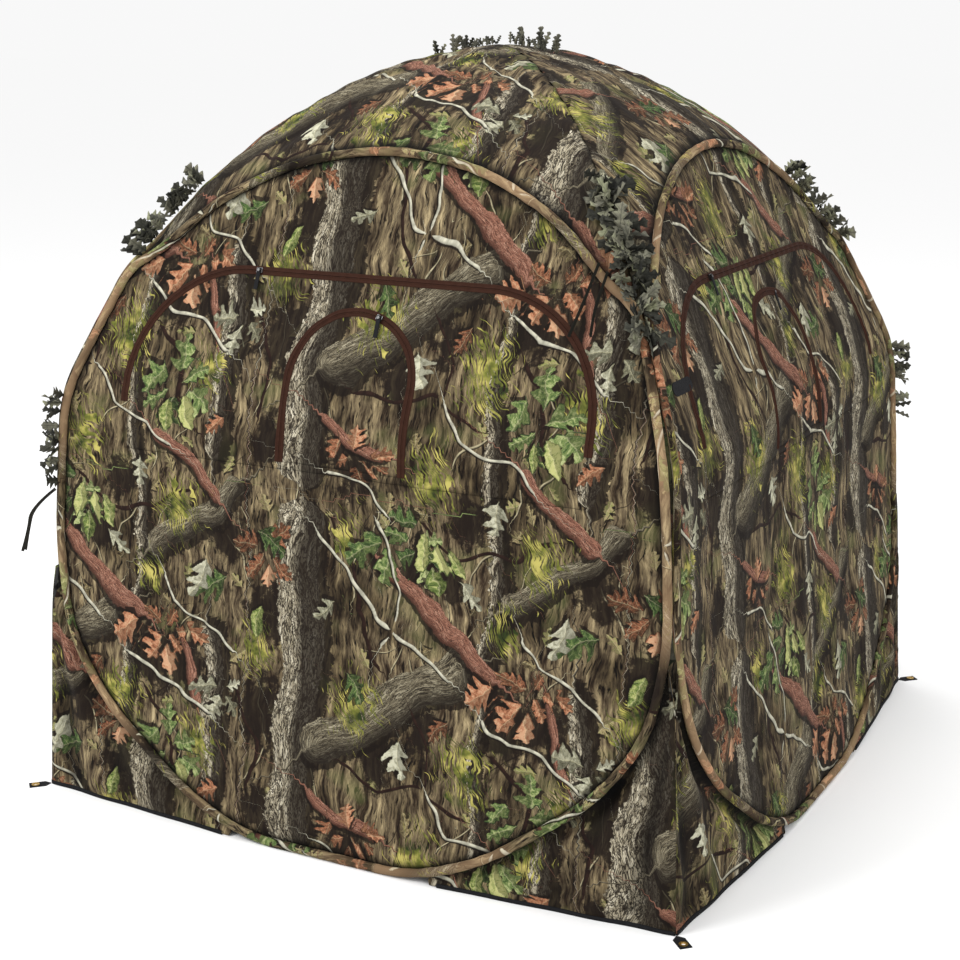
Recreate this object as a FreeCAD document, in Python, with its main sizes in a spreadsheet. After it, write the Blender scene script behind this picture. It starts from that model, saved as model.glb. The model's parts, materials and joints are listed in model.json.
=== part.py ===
"""Pop up ground blind: four sprung hoops, camouflage skins, zipped windows and a door.

Frame: millimetres, +Z up, origin on the ground at the centre of the square base.
The front wall faces -Y. Every wall is drawn facing -Y and turned about Z into place.
"""
import FreeCAD, Part
import Sketcher
import math
import os

Vector = FreeCAD.Vector
Rotation = FreeCAD.Rotation
Placement = FreeCAD.Placement

ORIGIN = Vector(0, 0, 0)
UP = Vector(0, 0, 1)
ALONG = Vector(1, 0, 0)

# Driving dimensions, in millimetres and degrees.
DIMENSIONS = {
    # the wall's outer face, as its inset from the base square at four heights
    "half_base": 762.0,
    "toe_flare": 40.0,
    "ankle_height": 520.0,
    "ankle_inset": 25.0,
    "ankle_bend": 1500.0,
    "knee_height": 900.0,
    "knee_inset": 42.0,
    "knee_bend": 400.0,
    "top_height": 1560.0,
    "top_inset": 312.6,
    # the roof: a curved profile out from the apex, swept sideways about a low axis
    "apex_height": 1640.0,
    "apex_slope": 5.7,
    "roof_radius": 969.0,
    "roof_sweep": 1300.0,
    "brow_start": 1170.0,
    # cloth, steel and sewing
    "cloth": 2.0,
    "wire_radius": 2.0,
    "sleeve_radius": 8.0,
    "sleeve_bore": 6.5,
    "seam_gap": 12.5,
    "skin_margin": 10.0,
    "hoop_rise": 10.0,
    "ferrule_radius": 3.8,
    "ferrule_bore": 2.1,
    "ferrule_length": 40.0,
    # zips and openings, measured on the wall's upper slope from the knee line
    "tape": 8.0,
    "tape_proud": 0.8,
    "zip_gap": 1.0,
    "fit": 0.2,
    "window_half": 545.0,
    "window_round": 260.0,
    "window_top": 308.0,
    "window_sill": 800.0,
    "window_zip_end": 900.0,
    "slot_round": 145.0,
    "slot_top": 238.0,
    "slot_sill": 815.0,
    "slot_zip_open": 19.0,
    "window_zip_open": -260.0,
    "door_zip_open": 110.0,
    "door_half": 340.0,
    "door_round": 220.0,
    "door_top": 443.0,
    "door_sill": 110.0,
    "hinge_gap": 1.0,
    # zip sliders and pulls
    "slider_long": 14.0,
    "slider_wide": 11.0,
    "slider_thick": 3.0,
    "slider_lift": 1.4,
    "slider_web": 0.5,
    "stud_radius": 1.6,
    "stud_tall": 3.4,
    "head_radius": 3.0,
    "head_thick": 0.8,
    "pull_wide": 9.0,
    "pull_long": 46.0,
    "pull_thick": 1.8,
    "pull_bore": 2.0,
    # ground skirts, hem and stake tabs
    "skirt_start": 240.0,
    "skirt_top": 530.0,
    "seam_split": 490.0,
    "hem_start": 262.0,
    "hem_tall": 8.0,
    "hem_thick": 3.0,
    "tab_long": 50.0,
    "tab_wide": 25.0,
    "tab_thick": 1.6,
    "ring_place": 36.0,
    "ring_bore": 5.0,
    "ring_rim": 9.0,
    "ring_tall": 3.0,
    # webbing tabs over the side windows' zips, leaf trim and ribbons
    "oval_long": 92.0,
    "oval_wide": 28.0,
    "oval_across": -565.0,
    "oval_along": 130.0,
    "leaf_near": 1.0,
    "leaf_out": 42.0,
    "leaf_thick": 8.0,
    "tuft_top": 1676.0,
    "ribbon_radius": 3.0,
}

WALLS = {"front": 0, "right": 90, "back": 180, "left": 270}
WINDOW_WALLS = ("front", "right", "left")
CORNERS = {"front_right": 0, "back_right": 90, "back_left": 180, "front_left": 270}

doc = FreeCAD.newDocument("pop_up_ground_blind")
sheet = doc.addObject("Spreadsheet::Sheet", "dimensions")
for row, (alias, value) in enumerate(DIMENSIONS.items(), start=1):
    sheet.set(f"A{row}", alias)
    sheet.set(f"B{row}", str(value))
    sheet.setAlias(f"B{row}", alias)
doc.recompute()


def dim(alias):
    """A driving dimension as the sheet holds it."""
    return float(getattr(sheet, alias))


NODES = []


def keep(item, node, place=None):
    """Name an object as a node of the model, and turn or move it into place."""
    item.Label = node
    if place is not None:
        item.Placement = place
    NODES.append(item)
    return item


def feature(node, shape, turn=0.0):
    """A sub-part whose form is given by its shape, turned about Z."""
    item = doc.addObject("Part::Feature", "form_" + node)
    item.Shape = shape
    return keep(item, node, Placement(ORIGIN, Rotation(UP, turn)))


def bind(item, **expressions):
    """Tie an object's properties to the sheet."""
    for name, text in expressions.items():
        item.setExpression(name, text)


def ring_of_four(shape):
    """Four copies, a quarter turn apart about Z."""
    copies = []
    for turn in WALLS.values():
        copy = shape.copy()
        copy.rotate(ORIGIN, UP, turn)
        copies.append(copy)
    return Part.makeCompound(copies)


# ---------------------------------------------------------------- curves


def unit(vector):
    return vector * (1.0 / vector.Length)


def corner_arc(before, at, after, radius=None, share=0.45):
    """The tangent arc that rounds one corner, or None where the path runs straight on."""
    come = unit(at - before)
    go = unit(after - at)
    turn = come.getAngle(go)
    if turn < 1e-4:
        return None
    trim = share * min((at - before).Length, (after - at).Length)
    if radius is None:
        radius = trim / math.tan(turn / 2)
    trim = radius * math.tan(turn / 2)
    inward = unit(go - come)
    middle = at + inward * (radius / math.cos(turn / 2) - radius)
    return at - come * trim, middle, at + go * trim


def rounded(points, closed=False, radii=None):
    """Straight runs joined by tangent arcs, as one wire."""
    count = len(points)
    arcs = []
    for i in range(count):
        if not closed and i in (0, count - 1):
            arcs.append(None)
            continue
        radius = radii[i] if radii else None
        arcs.append(corner_arc(points[i - 1], points[i], points[(i + 1) % count], radius))
    edges = []
    for i in range(count if closed else count - 1):
        j = (i + 1) % count
        start = arcs[i][2] if arcs[i] else points[i]
        end = arcs[j][0] if arcs[j] else points[j]
        edges.append(Part.makeLine(start, end))
        if arcs[j]:
            edges.append(Part.Arc(*arcs[j]).toShape())
    return Part.Wire(edges)


def swept_tube(path, radius, bore=0.0):
    """A round tube along a wire."""
    start = path.Edges[0].firstVertex().Point
    heading = path.Edges[0].tangentAt(path.Edges[0].FirstParameter)
    section = Part.Wire(Part.makeCircle(radius, start, heading))
    tube = path.makePipeShell([section], True, False)
    if bore:
        hollow = Part.Wire(Part.makeCircle(bore, start, heading))
        tube = tube.cut(path.makePipeShell([hollow], True, False))
    return tube


# ---------------------------------------------------------------- the wall's shape

HALF = dim("half_base")
KNEE_Y = dim("knee_inset") - HALF
SLOPE = (dim("top_inset") - dim("knee_inset")) / (dim("top_height") - dim("knee_height"))
LEAN = math.degrees(math.atan(SLOPE))


def inset(height):
    """How far the wall's outer face stands inside the base square at a height."""
    stops = (
        (0.0, -dim("toe_flare")),
        (dim("ankle_height"), dim("ankle_inset")),
        (dim("knee_height"), dim("knee_inset")),
        (dim("top_height"), dim("top_inset")),
    )
    for (low, start), (high, end) in zip(stops, stops[1:]):
        if height <= high:
            break
    return start + (end - start) * (height - low) / (high - low)


def on_wall(across, height, out=0.0):
    """A point of the front wall's outer face, or a little in front of it."""
    return Vector(across, inset(height) - HALF - out, height)


def wall_strip(proud=0.0, thick=None):
    """The whole sheet that the front wall is cut from, bent over its own height."""
    thick = thick or dim("cloth")
    low = -60.0
    points = [
        on_wall(0, low, proud),
        on_wall(0, dim("ankle_height"), proud),
        on_wall(0, dim("knee_height"), proud),
        on_wall(0, dim("top_height"), proud),
    ]
    line = rounded(points, radii=[0, dim("ankle_bend"), dim("knee_bend"), 0])
    inner = line.copy()
    inner.translate(Vector(0, thick, 0))
    ends = [
        Part.makeLine(line.Vertexes[-1].Point, inner.Vertexes[-1].Point),
        Part.makeLine(inner.Vertexes[0].Point, line.Vertexes[0].Point),
    ]
    face = Part.Face(Part.Wire(Part.__sortEdges__(line.Edges + inner.Edges + ends)))
    face.translate(Vector(-HALF, 0, 0))
    return face.extrude(ALONG * (2 * HALF))


def roof_profile(out):
    """Height of the roof straight out from the apex, over the wall's middle."""
    slope = math.radians(dim("apex_slope"))
    radius = dim("roof_radius")
    centre_out = -radius * math.sin(slope)
    centre_up = dim("apex_height") - radius * math.cos(slope)
    return centre_up + math.sqrt(radius**2 - (out - centre_out) ** 2)


def roof_height(across, out):
    """Height of the roof's outer face above the front quarter of the base."""
    axis = dim("apex_height") - dim("roof_sweep")
    return axis + math.sqrt((roof_profile(out) - axis) ** 2 - across**2)


def brow(across):
    """Where the front wall's face meets the roof, at a distance from the wall's middle."""
    height = dim("knee_height")
    for _ in range(40):
        height = roof_height(across, HALF - inset(height))
    return height


def hoop_side(height):
    """How far from the wall's middle a hoop stands where two hoops share a corner seam."""
    return HALF - inset(height) - dim("seam_gap")


def hoop_points():
    """One hoop's corners, from the middle of its foot up the right and down the left."""
    right = [(200.0, dim("hoop_rise")), (360.0, 72.0), (585.0, 236.0), (692.0, 378.0)]
    right += [(hoop_side(height), height) for height in (560.0, 720.0, 900.0, 1040.0)]
    right.append((hoop_side(dim("brow_start")), dim("brow_start")))
    right += [(across, brow(across)) for across in (525.0, 400.0, 215.0)]
    left = [(-across, height) for across, height in reversed(right)]
    return right + [(0.0, brow(0.0))] + left


def hoop_path():
    return rounded([on_wall(across, height) for across, height in hoop_points()], closed=True)


def hoop_prism(grow):
    """The space straight in front of and behind a hoop, grown or shrunk all round."""
    front = -HALF - 150.0
    depth = 650.0
    points = [Vector(across, front, height) for across, height in hoop_points()]
    outline = rounded(points, closed=True).makeOffset2D(grow)
    return Part.Face(outline).extrude(Vector(0, depth, 0))


# ---------------------------------------------------------------- openings

SLOPE_PLACE = Placement(Vector(0, KNEE_Y, dim("knee_height")), Rotation(ALONG, 90 - LEAN))


def arch_prism(half, radius, top, grow):
    """A prism through the wall, square to its upper slope, with an arched top."""
    half += grow
    radius += grow
    top += grow
    bottom = -1000.0
    depth = 900.0
    spring = top - radius
    flat = half - radius
    edges = [
        Part.makeLine(Vector(-half, bottom, 0), Vector(half, bottom, 0)),
        Part.makeLine(Vector(half, bottom, 0), Vector(half, spring, 0)),
        Part.makeCircle(radius, Vector(flat, spring, 0), UP, 0, 90),
        Part.makeCircle(radius, Vector(-flat, spring, 0), UP, 90, 180),
        Part.makeLine(Vector(-half, spring, 0), Vector(-half, bottom, 0)),
    ]
    if flat > 0.01:
        edges.append(Part.makeLine(Vector(flat, top, 0), Vector(-flat, top, 0)))
    face = Part.Face(Part.Wire(Part.__sortEdges__(edges)))
    prism = face.extrude(UP * depth)
    prism.translate(UP * (-depth / 2))
    prism.Placement = SLOPE_PLACE * prism.Placement
    return prism


def above(height):
    """Everything over a level."""
    side = 2400.0
    return Part.makeBox(side, side, side, Vector(-side / 2, -side / 2, height))


class Opening:
    """A zipped flap: its arch, the level it is cut down to and the level its zip ends at."""

    def __init__(self, half, radius, top, sill, zip_end):
        self.arch = (half, radius, top)
        self.sill = sill
        self.zip_end = zip_end

    def hole(self):
        """What the flap and both halves of its zip take out of the cloth around it."""
        gap = dim("zip_gap") / 2
        wide = arch_prism(*self.arch, dim("tape") + gap).common(above(self.zip_end))
        return arch_prism(*self.arch, gap).common(above(self.sill)).fuse(wide)

    def flap(self):
        """The cloth that drops, cut clear of the zip and of the hinge line."""
        inner = arch_prism(*self.arch, -dim("zip_gap") / 2)
        return inner.common(above(self.sill + dim("hinge_gap")))

    def tape(self):
        """The fixed half of the zip, a hair narrower than the cloth it fills."""
        gap = dim("zip_gap") / 2
        outer = arch_prism(*self.arch, dim("tape") + gap - dim("fit"))
        return outer.cut(arch_prism(*self.arch, gap)).common(above(self.zip_end))


WINDOW = Opening(
    dim("window_half"), dim("window_round"), dim("window_top"), dim("window_sill"), dim("window_zip_end")
)
SLOT = Opening(dim("slot_round"), dim("slot_round"), dim("slot_top"), dim("slot_sill"), dim("slot_sill"))
DOOR = Opening(dim("door_half"), dim("door_round"), dim("door_top"), dim("door_sill"), dim("door_sill"))


def zip_strip():
    """The sheet that zip tapes are cut from: it stands a little proud of the cloth."""
    return wall_strip(dim("tape_proud"), dim("cloth") + dim("tape_proud"))


# ---------------------------------------------------------------- walls, flaps and zips


def make_walls():
    skin = wall_strip().common(hoop_prism(-dim("skin_margin")))
    for wall, turn in WALLS.items():
        opening = WINDOW if wall in WINDOW_WALLS else DOOR
        feature(f"wall_{wall}", skin.cut(opening.hole()), turn)


def make_windows():
    """On each window wall: the big flap, the small one inside it and their zips."""
    big_flap = wall_strip().common(WINDOW.flap()).cut(SLOT.hole())
    small_flap = wall_strip().common(SLOT.flap())
    big_zip = zip_strip().common(WINDOW.tape())
    small_zip = zip_strip().common(SLOT.tape())
    for wall in WINDOW_WALLS:
        turn = WALLS[wall]
        feature(f"window_flap_{wall}", big_flap, turn)
        feature(f"window_zip_{wall}", big_zip, turn)
        feature(f"slot_flap_{wall}", small_flap, turn)
        feature(f"slot_zip_{wall}", small_zip, turn)


def make_door():
    feature("door_flap", wall_strip().common(DOOR.flap()), WALLS["back"])
    feature("door_zip", zip_strip().common(DOOR.tape()), WALLS["back"])


def on_slope(across, along, spin, turn):
    """Placement of a part that lies on the wall's upper slope, turned with its wall."""
    local = Placement(Vector(across, along, 0), Rotation(UP, spin))
    return Placement(ORIGIN, Rotation(UP, turn)) * SLOPE_PLACE * local


def origin_plane(body, role):
    for plane in body.Origin.OriginFeatures:
        if plane.Role == role:
            return plane
    raise RuntimeError("no plane " + role)


def sketch_on(body, name, lift=None):
    """An empty sketch on a body's own ground plane, raised by a sheet expression."""
    sketch = body.newObject("Sketcher::SketchObject", name)
    sketch.AttachmentSupport = (origin_plane(body, "XY_Plane"), [""])
    sketch.MapMode = "FlatFace"
    if lift:
        sketch.setExpression("AttachmentOffset.Base.z", lift)
    return sketch


def rectangle(sketch, wide, tall, low=None):
    """A rectangle about the sketch's Y axis, its sides tied to the sheet."""
    corners = [Vector(-1, -1, 0), Vector(1, -1, 0), Vector(1, 1, 0), Vector(-1, 1, 0)]
    for i in range(4):
        sketch.addGeometry(Part.LineSegment(corners[i], corners[(i + 1) % 4]))
    for i in range(4):
        sketch.addConstraint(Sketcher.Constraint("Coincident", i, 2, (i + 1) % 4, 1))
    for side, kind in enumerate(("Horizontal", "Vertical", "Horizontal", "Vertical")):
        sketch.addConstraint(Sketcher.Constraint(kind, side))
    width = sketch.addConstraint(Sketcher.Constraint("DistanceX", 0, 1, 0, 2, 2.0))
    left = sketch.addConstraint(Sketcher.Constraint("DistanceX", 0, 1, -1, 1, 1.0))
    height = sketch.addConstraint(Sketcher.Constraint("DistanceY", 1, 1, 1, 2, 2.0))
    base = sketch.addConstraint(Sketcher.Constraint("DistanceY", 0, 1, -1, 1, 1.0))
    sketch.setExpression(f"Constraints[{width}]", wide)
    sketch.setExpression(f"Constraints[{left}]", f"({wide}) / 2")
    sketch.setExpression(f"Constraints[{height}]", tall)
    sketch.setExpression(f"Constraints[{base}]", low or f"({tall}) / 2")


def circle(sketch, radius):
    """A circle on the sketch's origin, its radius tied to the sheet."""
    sketch.addGeometry(Part.Circle(ORIGIN, UP, 1.0))
    sketch.addConstraint(Sketcher.Constraint("Coincident", 0, 3, -1, 1))
    size = sketch.addConstraint(Sketcher.Constraint("Radius", 0, 1.0))
    sketch.setExpression(f"Constraints[{size}]", radius)


def pad(body, sketch, length):
    item = body.newObject("PartDesign::Pad", sketch.Name + "_pad")
    item.Profile = sketch
    item.setExpression("Length", length)
    return item


def make_slider(node, place):
    """A zip slider: a plate over the teeth, a web between them and a headed stud."""
    body = doc.addObject("PartDesign::Body", "body_" + node)
    lift = "dimensions.slider_lift"
    top = "dimensions.slider_lift + dimensions.slider_thick"
    plate = sketch_on(body, node + "_plate", lift)
    rectangle(plate, "dimensions.slider_long", "dimensions.slider_wide")
    pad(body, plate, "dimensions.slider_thick")
    web = sketch_on(body, node + "_web", "-dimensions.cloth")
    rectangle(web, "dimensions.slider_long / 2", "dimensions.slider_web")
    pad(body, web, "dimensions.cloth + dimensions.slider_lift")
    stud = sketch_on(body, node + "_stud", top)
    circle(stud, "dimensions.stud_radius")
    pad(body, stud, "dimensions.stud_tall")
    head = sketch_on(body, node + "_head", f"{top} + dimensions.stud_tall")
    circle(head, "dimensions.head_radius")
    pad(body, head, "dimensions.head_thick")
    return keep(body, node, place)


def make_pull(node, place):
    """A flat pull tab, hanging from the slider's stud by a hole at its upper end."""
    body = doc.addObject("PartDesign::Body", "body_" + node)
    lift = (
        "dimensions.slider_lift + dimensions.slider_thick"
        " + (dimensions.stud_tall - dimensions.pull_thick) / 2"
    )
    tab = sketch_on(body, node + "_tab", lift)
    rectangle(
        tab,
        "dimensions.pull_wide",
        "dimensions.pull_long",
        "dimensions.pull_long - dimensions.pull_wide / 2",
    )
    pad(body, tab, "dimensions.pull_thick")
    hole = sketch_on(body, node + "_hole", lift)
    circle(hole, "dimensions.pull_bore")
    cut = body.newObject("PartDesign::Pocket", node + "_pocket")
    cut.Profile = hole
    cut.Type = "ThroughAll"
    cut.Midplane = True
    return keep(body, node, place)


def make_sliders():
    """One slider and pull on each zip: on the windows' tops, the slots' arches, the door."""
    slot_spring = dim("slot_top") - dim("slot_round")
    angle = math.radians(dim("slot_zip_open"))
    slot_place = (
        dim("slot_round") * math.sin(angle),
        slot_spring + dim("slot_round") * math.cos(angle),
        -math.degrees(angle),
    )
    places = {}
    for wall in WINDOW_WALLS:
        window_place = (dim("window_zip_open"), dim("window_top"), 0.0)
        places[f"window_{{}}_{wall}"] = (*window_place, WALLS[wall])
        places[f"slot_{{}}_{wall}"] = (*slot_place, WALLS[wall])
    places["door_{}"] = (dim("door_zip_open"), dim("door_top"), 0.0, WALLS["back"])
    for name, (across, along, spin, turn) in places.items():
        make_slider(name.format("slider"), on_slope(across, along, spin, turn))
        make_pull(name.format("pull"), on_slope(across, along, 0.0, turn))


# ---------------------------------------------------------------- hoops and sleeves


def make_hoops():
    path = hoop_path()
    wire = swept_tube(path, dim("wire_radius"))
    sleeve = swept_tube(path, dim("sleeve_radius"), dim("sleeve_bore"))
    for wall, turn in WALLS.items():
        feature(f"hoop_{wall}", wire, turn)
        feature(f"hoop_sleeve_{wall}", sleeve, turn)


def make_ferrules():
    """Crimped tubes that close each hoop at the middle of its foot, one solid each."""
    foot = on_wall(0, dim("hoop_rise"))
    parts = []
    for wall, turn in WALLS.items():
        around = Placement(ORIGIN, Rotation(UP, turn))
        place = around * Placement(foot, Rotation(Vector(0, 1, 0), 90))
        outer = doc.addObject("Part::Cylinder", f"ferrule_{wall}_outer")
        bore = doc.addObject("Part::Cylinder", f"ferrule_{wall}_bore")
        bind(outer, Radius="dimensions.ferrule_radius", Height="dimensions.ferrule_length")
        bind(bore, Radius="dimensions.ferrule_bore", Height="dimensions.ferrule_length")
        centre = Placement(Vector(0, 0, -dim("ferrule_length") / 2), Rotation())
        outer.Placement = place * centre
        bore.Placement = place * centre
        tube = doc.addObject("Part::Cut", f"ferrule_{wall}")
        tube.Base = outer
        tube.Tool = bore
        parts.append(tube)
    group = doc.addObject("Part::Compound", "ferrules")
    group.Links = parts
    keep(group, "hoop_ferrules")


# ---------------------------------------------------------------- roof


def roof_sector():
    """The front quarter of the roof, before the brow is trimmed."""
    slope = math.radians(dim("apex_slope"))
    radius = dim("roof_radius")
    centre = Vector(0, radius * math.sin(slope), dim("apex_height") - radius * math.cos(slope))
    top = math.pi / 2
    reach = HALF - 130.0
    sweep = math.asin((reach + centre.y) / radius)
    angles = (top, top + sweep / 2, top + sweep)
    rims = []
    for rim in (radius, radius - dim("cloth")):
        points = [centre + Vector(0, math.cos(a), math.sin(a)) * rim for a in angles]
        rims.append(Part.Arc(*points).toShape())
    ends = [
        Part.makeLine(rims[0].firstVertex().Point, rims[1].firstVertex().Point),
        Part.makeLine(rims[0].lastVertex().Point, rims[1].lastVertex().Point),
    ]
    face = Part.Face(Part.Wire(Part.__sortEdges__(rims + ends)))
    axis = Vector(0, 0, dim("apex_height") - dim("roof_sweep"))
    spread = 42.0
    face.rotate(axis, Vector(0, 1, 0), -spread)
    return face.revolve(axis, Vector(0, 1, 0), 2 * spread)


def make_roof():
    """Four panels that meet on the diagonals and stop short of the hoops."""
    ring = sorted(point for point in hoop_points() if point[1] >= dim("brow_start"))
    margin = dim("skin_margin") + 1
    edge = [Vector(across, inset(height) - HALF + margin, 0) for across, height in ring]
    first = edge[0]
    last = edge[-1]
    limit = min(-first.x, -first.y) - margin
    trim = rounded([Vector(-HALF, first.y, 0)] + edge[1:-1] + [Vector(HALF, last.y, 0)])
    behind = 200.0
    back = [
        Part.makeLine(Vector(HALF, last.y, 0), Vector(HALF, behind, 0)),
        Part.makeLine(Vector(HALF, behind, 0), Vector(-HALF, behind, 0)),
        Part.makeLine(Vector(-HALF, behind, 0), Vector(-HALF, first.y, 0)),
    ]
    brow_face = Part.Face(Part.Wire(Part.__sortEdges__(trim.Edges + back)))
    seam = 0.1
    tall = UP * 2000
    quarter = Part.makePolygon(
        [
            Vector(0, -seam, 0),
            Vector(-limit, -limit - seam, 0),
            Vector(-limit, -HALF, 0),
            Vector(limit, -HALF, 0),
            Vector(limit, -limit - seam, 0),
            Vector(0, -seam, 0),
        ]
    )
    plan = brow_face.extrude(tall).common(Part.Face(quarter).extrude(tall))
    panel = roof_sector().common(plan)
    for wall, turn in WALLS.items():
        feature(f"roof_{wall}", panel, turn)


# ---------------------------------------------------------------- ground skirts


def skirt_plane(across, height):
    """How far out the skirt's flat triangle stands at a point beside the front wall."""
    top = dim("seam_split")
    seam = HALF - inset(top)
    out = dim("toe_flare") / (HALF - dim("skirt_start"))
    rise = (HALF - seam - out * (HALF - seam)) / top
    return -HALF - out * (HALF - across) + rise * height


def skirt_plate(low, high, thick, start, proud=0.0):
    """A thin flat plate on the skirt's plane between two levels, out past the corner."""
    end = HALF + 30.0
    corners = []
    for across, height in ((start, low), (end, low), (end, high), (start, high)):
        corners.append(Vector(across, skirt_plane(across, height) - proud, height))
    face = Part.Face(Part.makePolygon(corners + corners[:1]))
    return face.extrude(Vector(0, thick, 0))


def corner_half():
    """The space on the front wall's side of the right front corner's mitre."""
    far = 2 * HALF
    low = -5.0
    outline = [Vector(0, 0, low), Vector(far, -far, low), Vector(0, -far, low), Vector(0, 0, low)]
    return Part.Face(Part.makePolygon(outline)).extrude(UP * HALF)


def mirrored_pair(half):
    """A half in the front wall and its mirror image in the right wall, as one."""
    other = half.mirror(ORIGIN, Vector(1, 1, 0))
    return half.fuse(other).removeSplitter()


def make_skirts():
    plate = skirt_plate(dim("hem_tall"), dim("skirt_top"), dim("cloth"), dim("skirt_start"))
    plate = plate.common(corner_half()).cut(hoop_prism(dim("skin_margin")))
    solids = [piece for piece in plate.Solids if piece.CenterOfMass.x > dim("skirt_start")]
    skirt = mirrored_pair(max(solids, key=lambda piece: piece.Volume))
    for corner, turn in CORNERS.items():
        feature(f"corner_skirt_{corner}", skirt, turn)


def make_hem():
    proud = (dim("hem_thick") - dim("cloth")) / 2
    bar = skirt_plate(0.0, dim("hem_tall"), dim("hem_thick"), dim("hem_start"), proud)
    angle = mirrored_pair(bar.common(corner_half()))
    feature("bottom_hem", ring_of_four(angle))


def make_stake_tabs():
    """Webbing tabs on the ground outside each corner, notched to it, with a brass ring."""
    reach = dim("tab_long")
    half = dim("tab_wide") / 2
    clear = 1.5
    outline = [
        Vector(clear, 0, 0),
        Vector(clear + half, -half, 0),
        Vector(reach, -half, 0),
        Vector(reach, half, 0),
        Vector(clear + half, half, 0),
        Vector(clear, 0, 0),
    ]
    web = Part.Face(Part.makePolygon(outline)).extrude(UP * dim("tab_thick"))
    centre = Vector(dim("ring_place"), 0, 0)
    web = web.cut(Part.makeCylinder(dim("ring_rim") + dim("fit") / 2, dim("tab_thick"), centre))
    place = Placement(Vector(HALF, -HALF, 0), Rotation(UP, -45))
    web.Placement = place
    feature("stake_tabs", ring_of_four(web))
    rings = []
    for corner, turn in CORNERS.items():
        spot = Placement(ORIGIN, Rotation(UP, turn)) * place * Placement(centre, Rotation())
        rim = doc.addObject("Part::Cylinder", f"ring_{corner}_rim")
        bore = doc.addObject("Part::Cylinder", f"ring_{corner}_bore")
        bind(rim, Radius="dimensions.ring_rim", Height="dimensions.ring_tall")
        bind(bore, Radius="dimensions.ring_bore", Height="dimensions.ring_tall")
        rim.Placement = spot
        bore.Placement = spot
        ring = doc.addObject("Part::Cut", f"ring_{corner}")
        ring.Base = rim
        ring.Tool = bore
        rings.append(ring)
    group = doc.addObject("Part::Compound", "rings")
    group.Links = rings
    keep(group, "stake_rings")


# ---------------------------------------------------------------- trim


def make_corner_tabs():
    """A webbing tab on each side wall, from its corner seam over one leg of the zip."""
    half = dim("oval_long") / 2 - dim("oval_wide") / 2
    round_end = dim("oval_wide") / 2
    edges = [
        Part.makeLine(Vector(-half, round_end, 0), Vector(half, round_end, 0)),
        Part.makeLine(Vector(-half, -round_end, 0), Vector(half, -round_end, 0)),
        Part.makeCircle(round_end, Vector(half, 0, 0), UP, -90, 90),
        Part.makeCircle(round_end, Vector(-half, 0, 0), UP, 90, 270),
    ]
    tab = Part.Face(Part.Wire(Part.__sortEdges__(edges))).extrude(UP * dim("tab_thick"))
    clear = Placement(UP * (dim("tape_proud") + dim("fit")), Rotation())
    tabs = []
    for wall in ("right", "left"):
        copy = tab.copy()
        copy.Placement = on_slope(dim("oval_across"), dim("oval_along"), 0, WALLS[wall]) * clear
        tabs.append(copy)
    feature("corner_tabs", Part.makeCompound(tabs))


def leaf_fin(spine):
    """A thin strip on edge along a line of (reach, height) points over the right front corner."""
    points = [Vector(reach, -reach, height) for reach, height in spine]
    start, end = points[0], points[-1]
    flank = unit(Vector(1, 1, 0))
    along = unit(end - start)
    out = along.cross(flank)
    if out.x < 0:
        out = out * -1
    inner = [point + out * dim("leaf_near") for point in points]
    far = dim("leaf_out")
    shoulder = 25.0
    outer = [
        end - along * shoulder + out * (far * 0.7),
        (start + end) * 0.5 + out * far,
        start + along * shoulder + out * (far * 0.7),
    ]
    face = Part.Face(Part.makePolygon(inner + outer + inner[:1]))
    face.translate(flank * (-dim("leaf_thick") / 2))
    return face.extrude(flank * dim("leaf_thick"))


# leaf strips along the apex: left end, right end, how far their top edge is below the tallest
APEX_STRIPS = [(-190.0, -118.0, 26.0), (-108.0, -64.0, 28.0), (-56.0, -4.0, 14.0), (4.0, 142.0, 0.0)]


def apex_blade(left, right, drop):
    """A thin upright strip that stands on the roof's side gores along the apex."""
    thick = 6.0
    chamfer = 6.0
    steps = 8
    top = dim("tuft_top") - drop
    places = [left + (right - left) * k / steps for k in range(steps + 1)]
    lower = [Vector(x, -thick / 2, roof_profile(abs(x)) + dim("fit")) for x in places]
    upper = [Vector(right - chamfer, -thick / 2, top), Vector(left + chamfer, -thick / 2, top)]
    face = Part.Face(Part.makePolygon(lower + upper + lower[:1]))
    return face.extrude(Vector(0, thick, 0))


def make_leaves():
    """Leaf trim over every corner's roof hip, below the knee, and a tuft on the apex."""
    foot, head, steps = 575.0, 480.0, 8
    reaches = [foot + (head - foot) * k / steps for k in range(steps + 1)]
    hip = [(reach, roof_height(reach, reach)) for reach in reaches]
    seam = [(HALF - inset(height), height) for height in (700.0, 900.0)]
    fins = [ring_of_four(leaf_fin(hip))]
    for corner in ("back_right", "back_left", "front_left"):
        fin = leaf_fin(seam)
        fin.rotate(ORIGIN, UP, CORNERS[corner])
        fins.append(fin)
    feature("corner_leaves", Part.makeCompound(fins))
    blades = [apex_blade(*strip) for strip in APEX_STRIPS]
    feature("apex_leaves", Part.makeCompound(blades))


def slope_ribbon(points):
    """Points down the front wall, each as across, height and stand-off."""
    return [tuple(on_wall(across, height, out)) for across, height, out in points]


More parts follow.
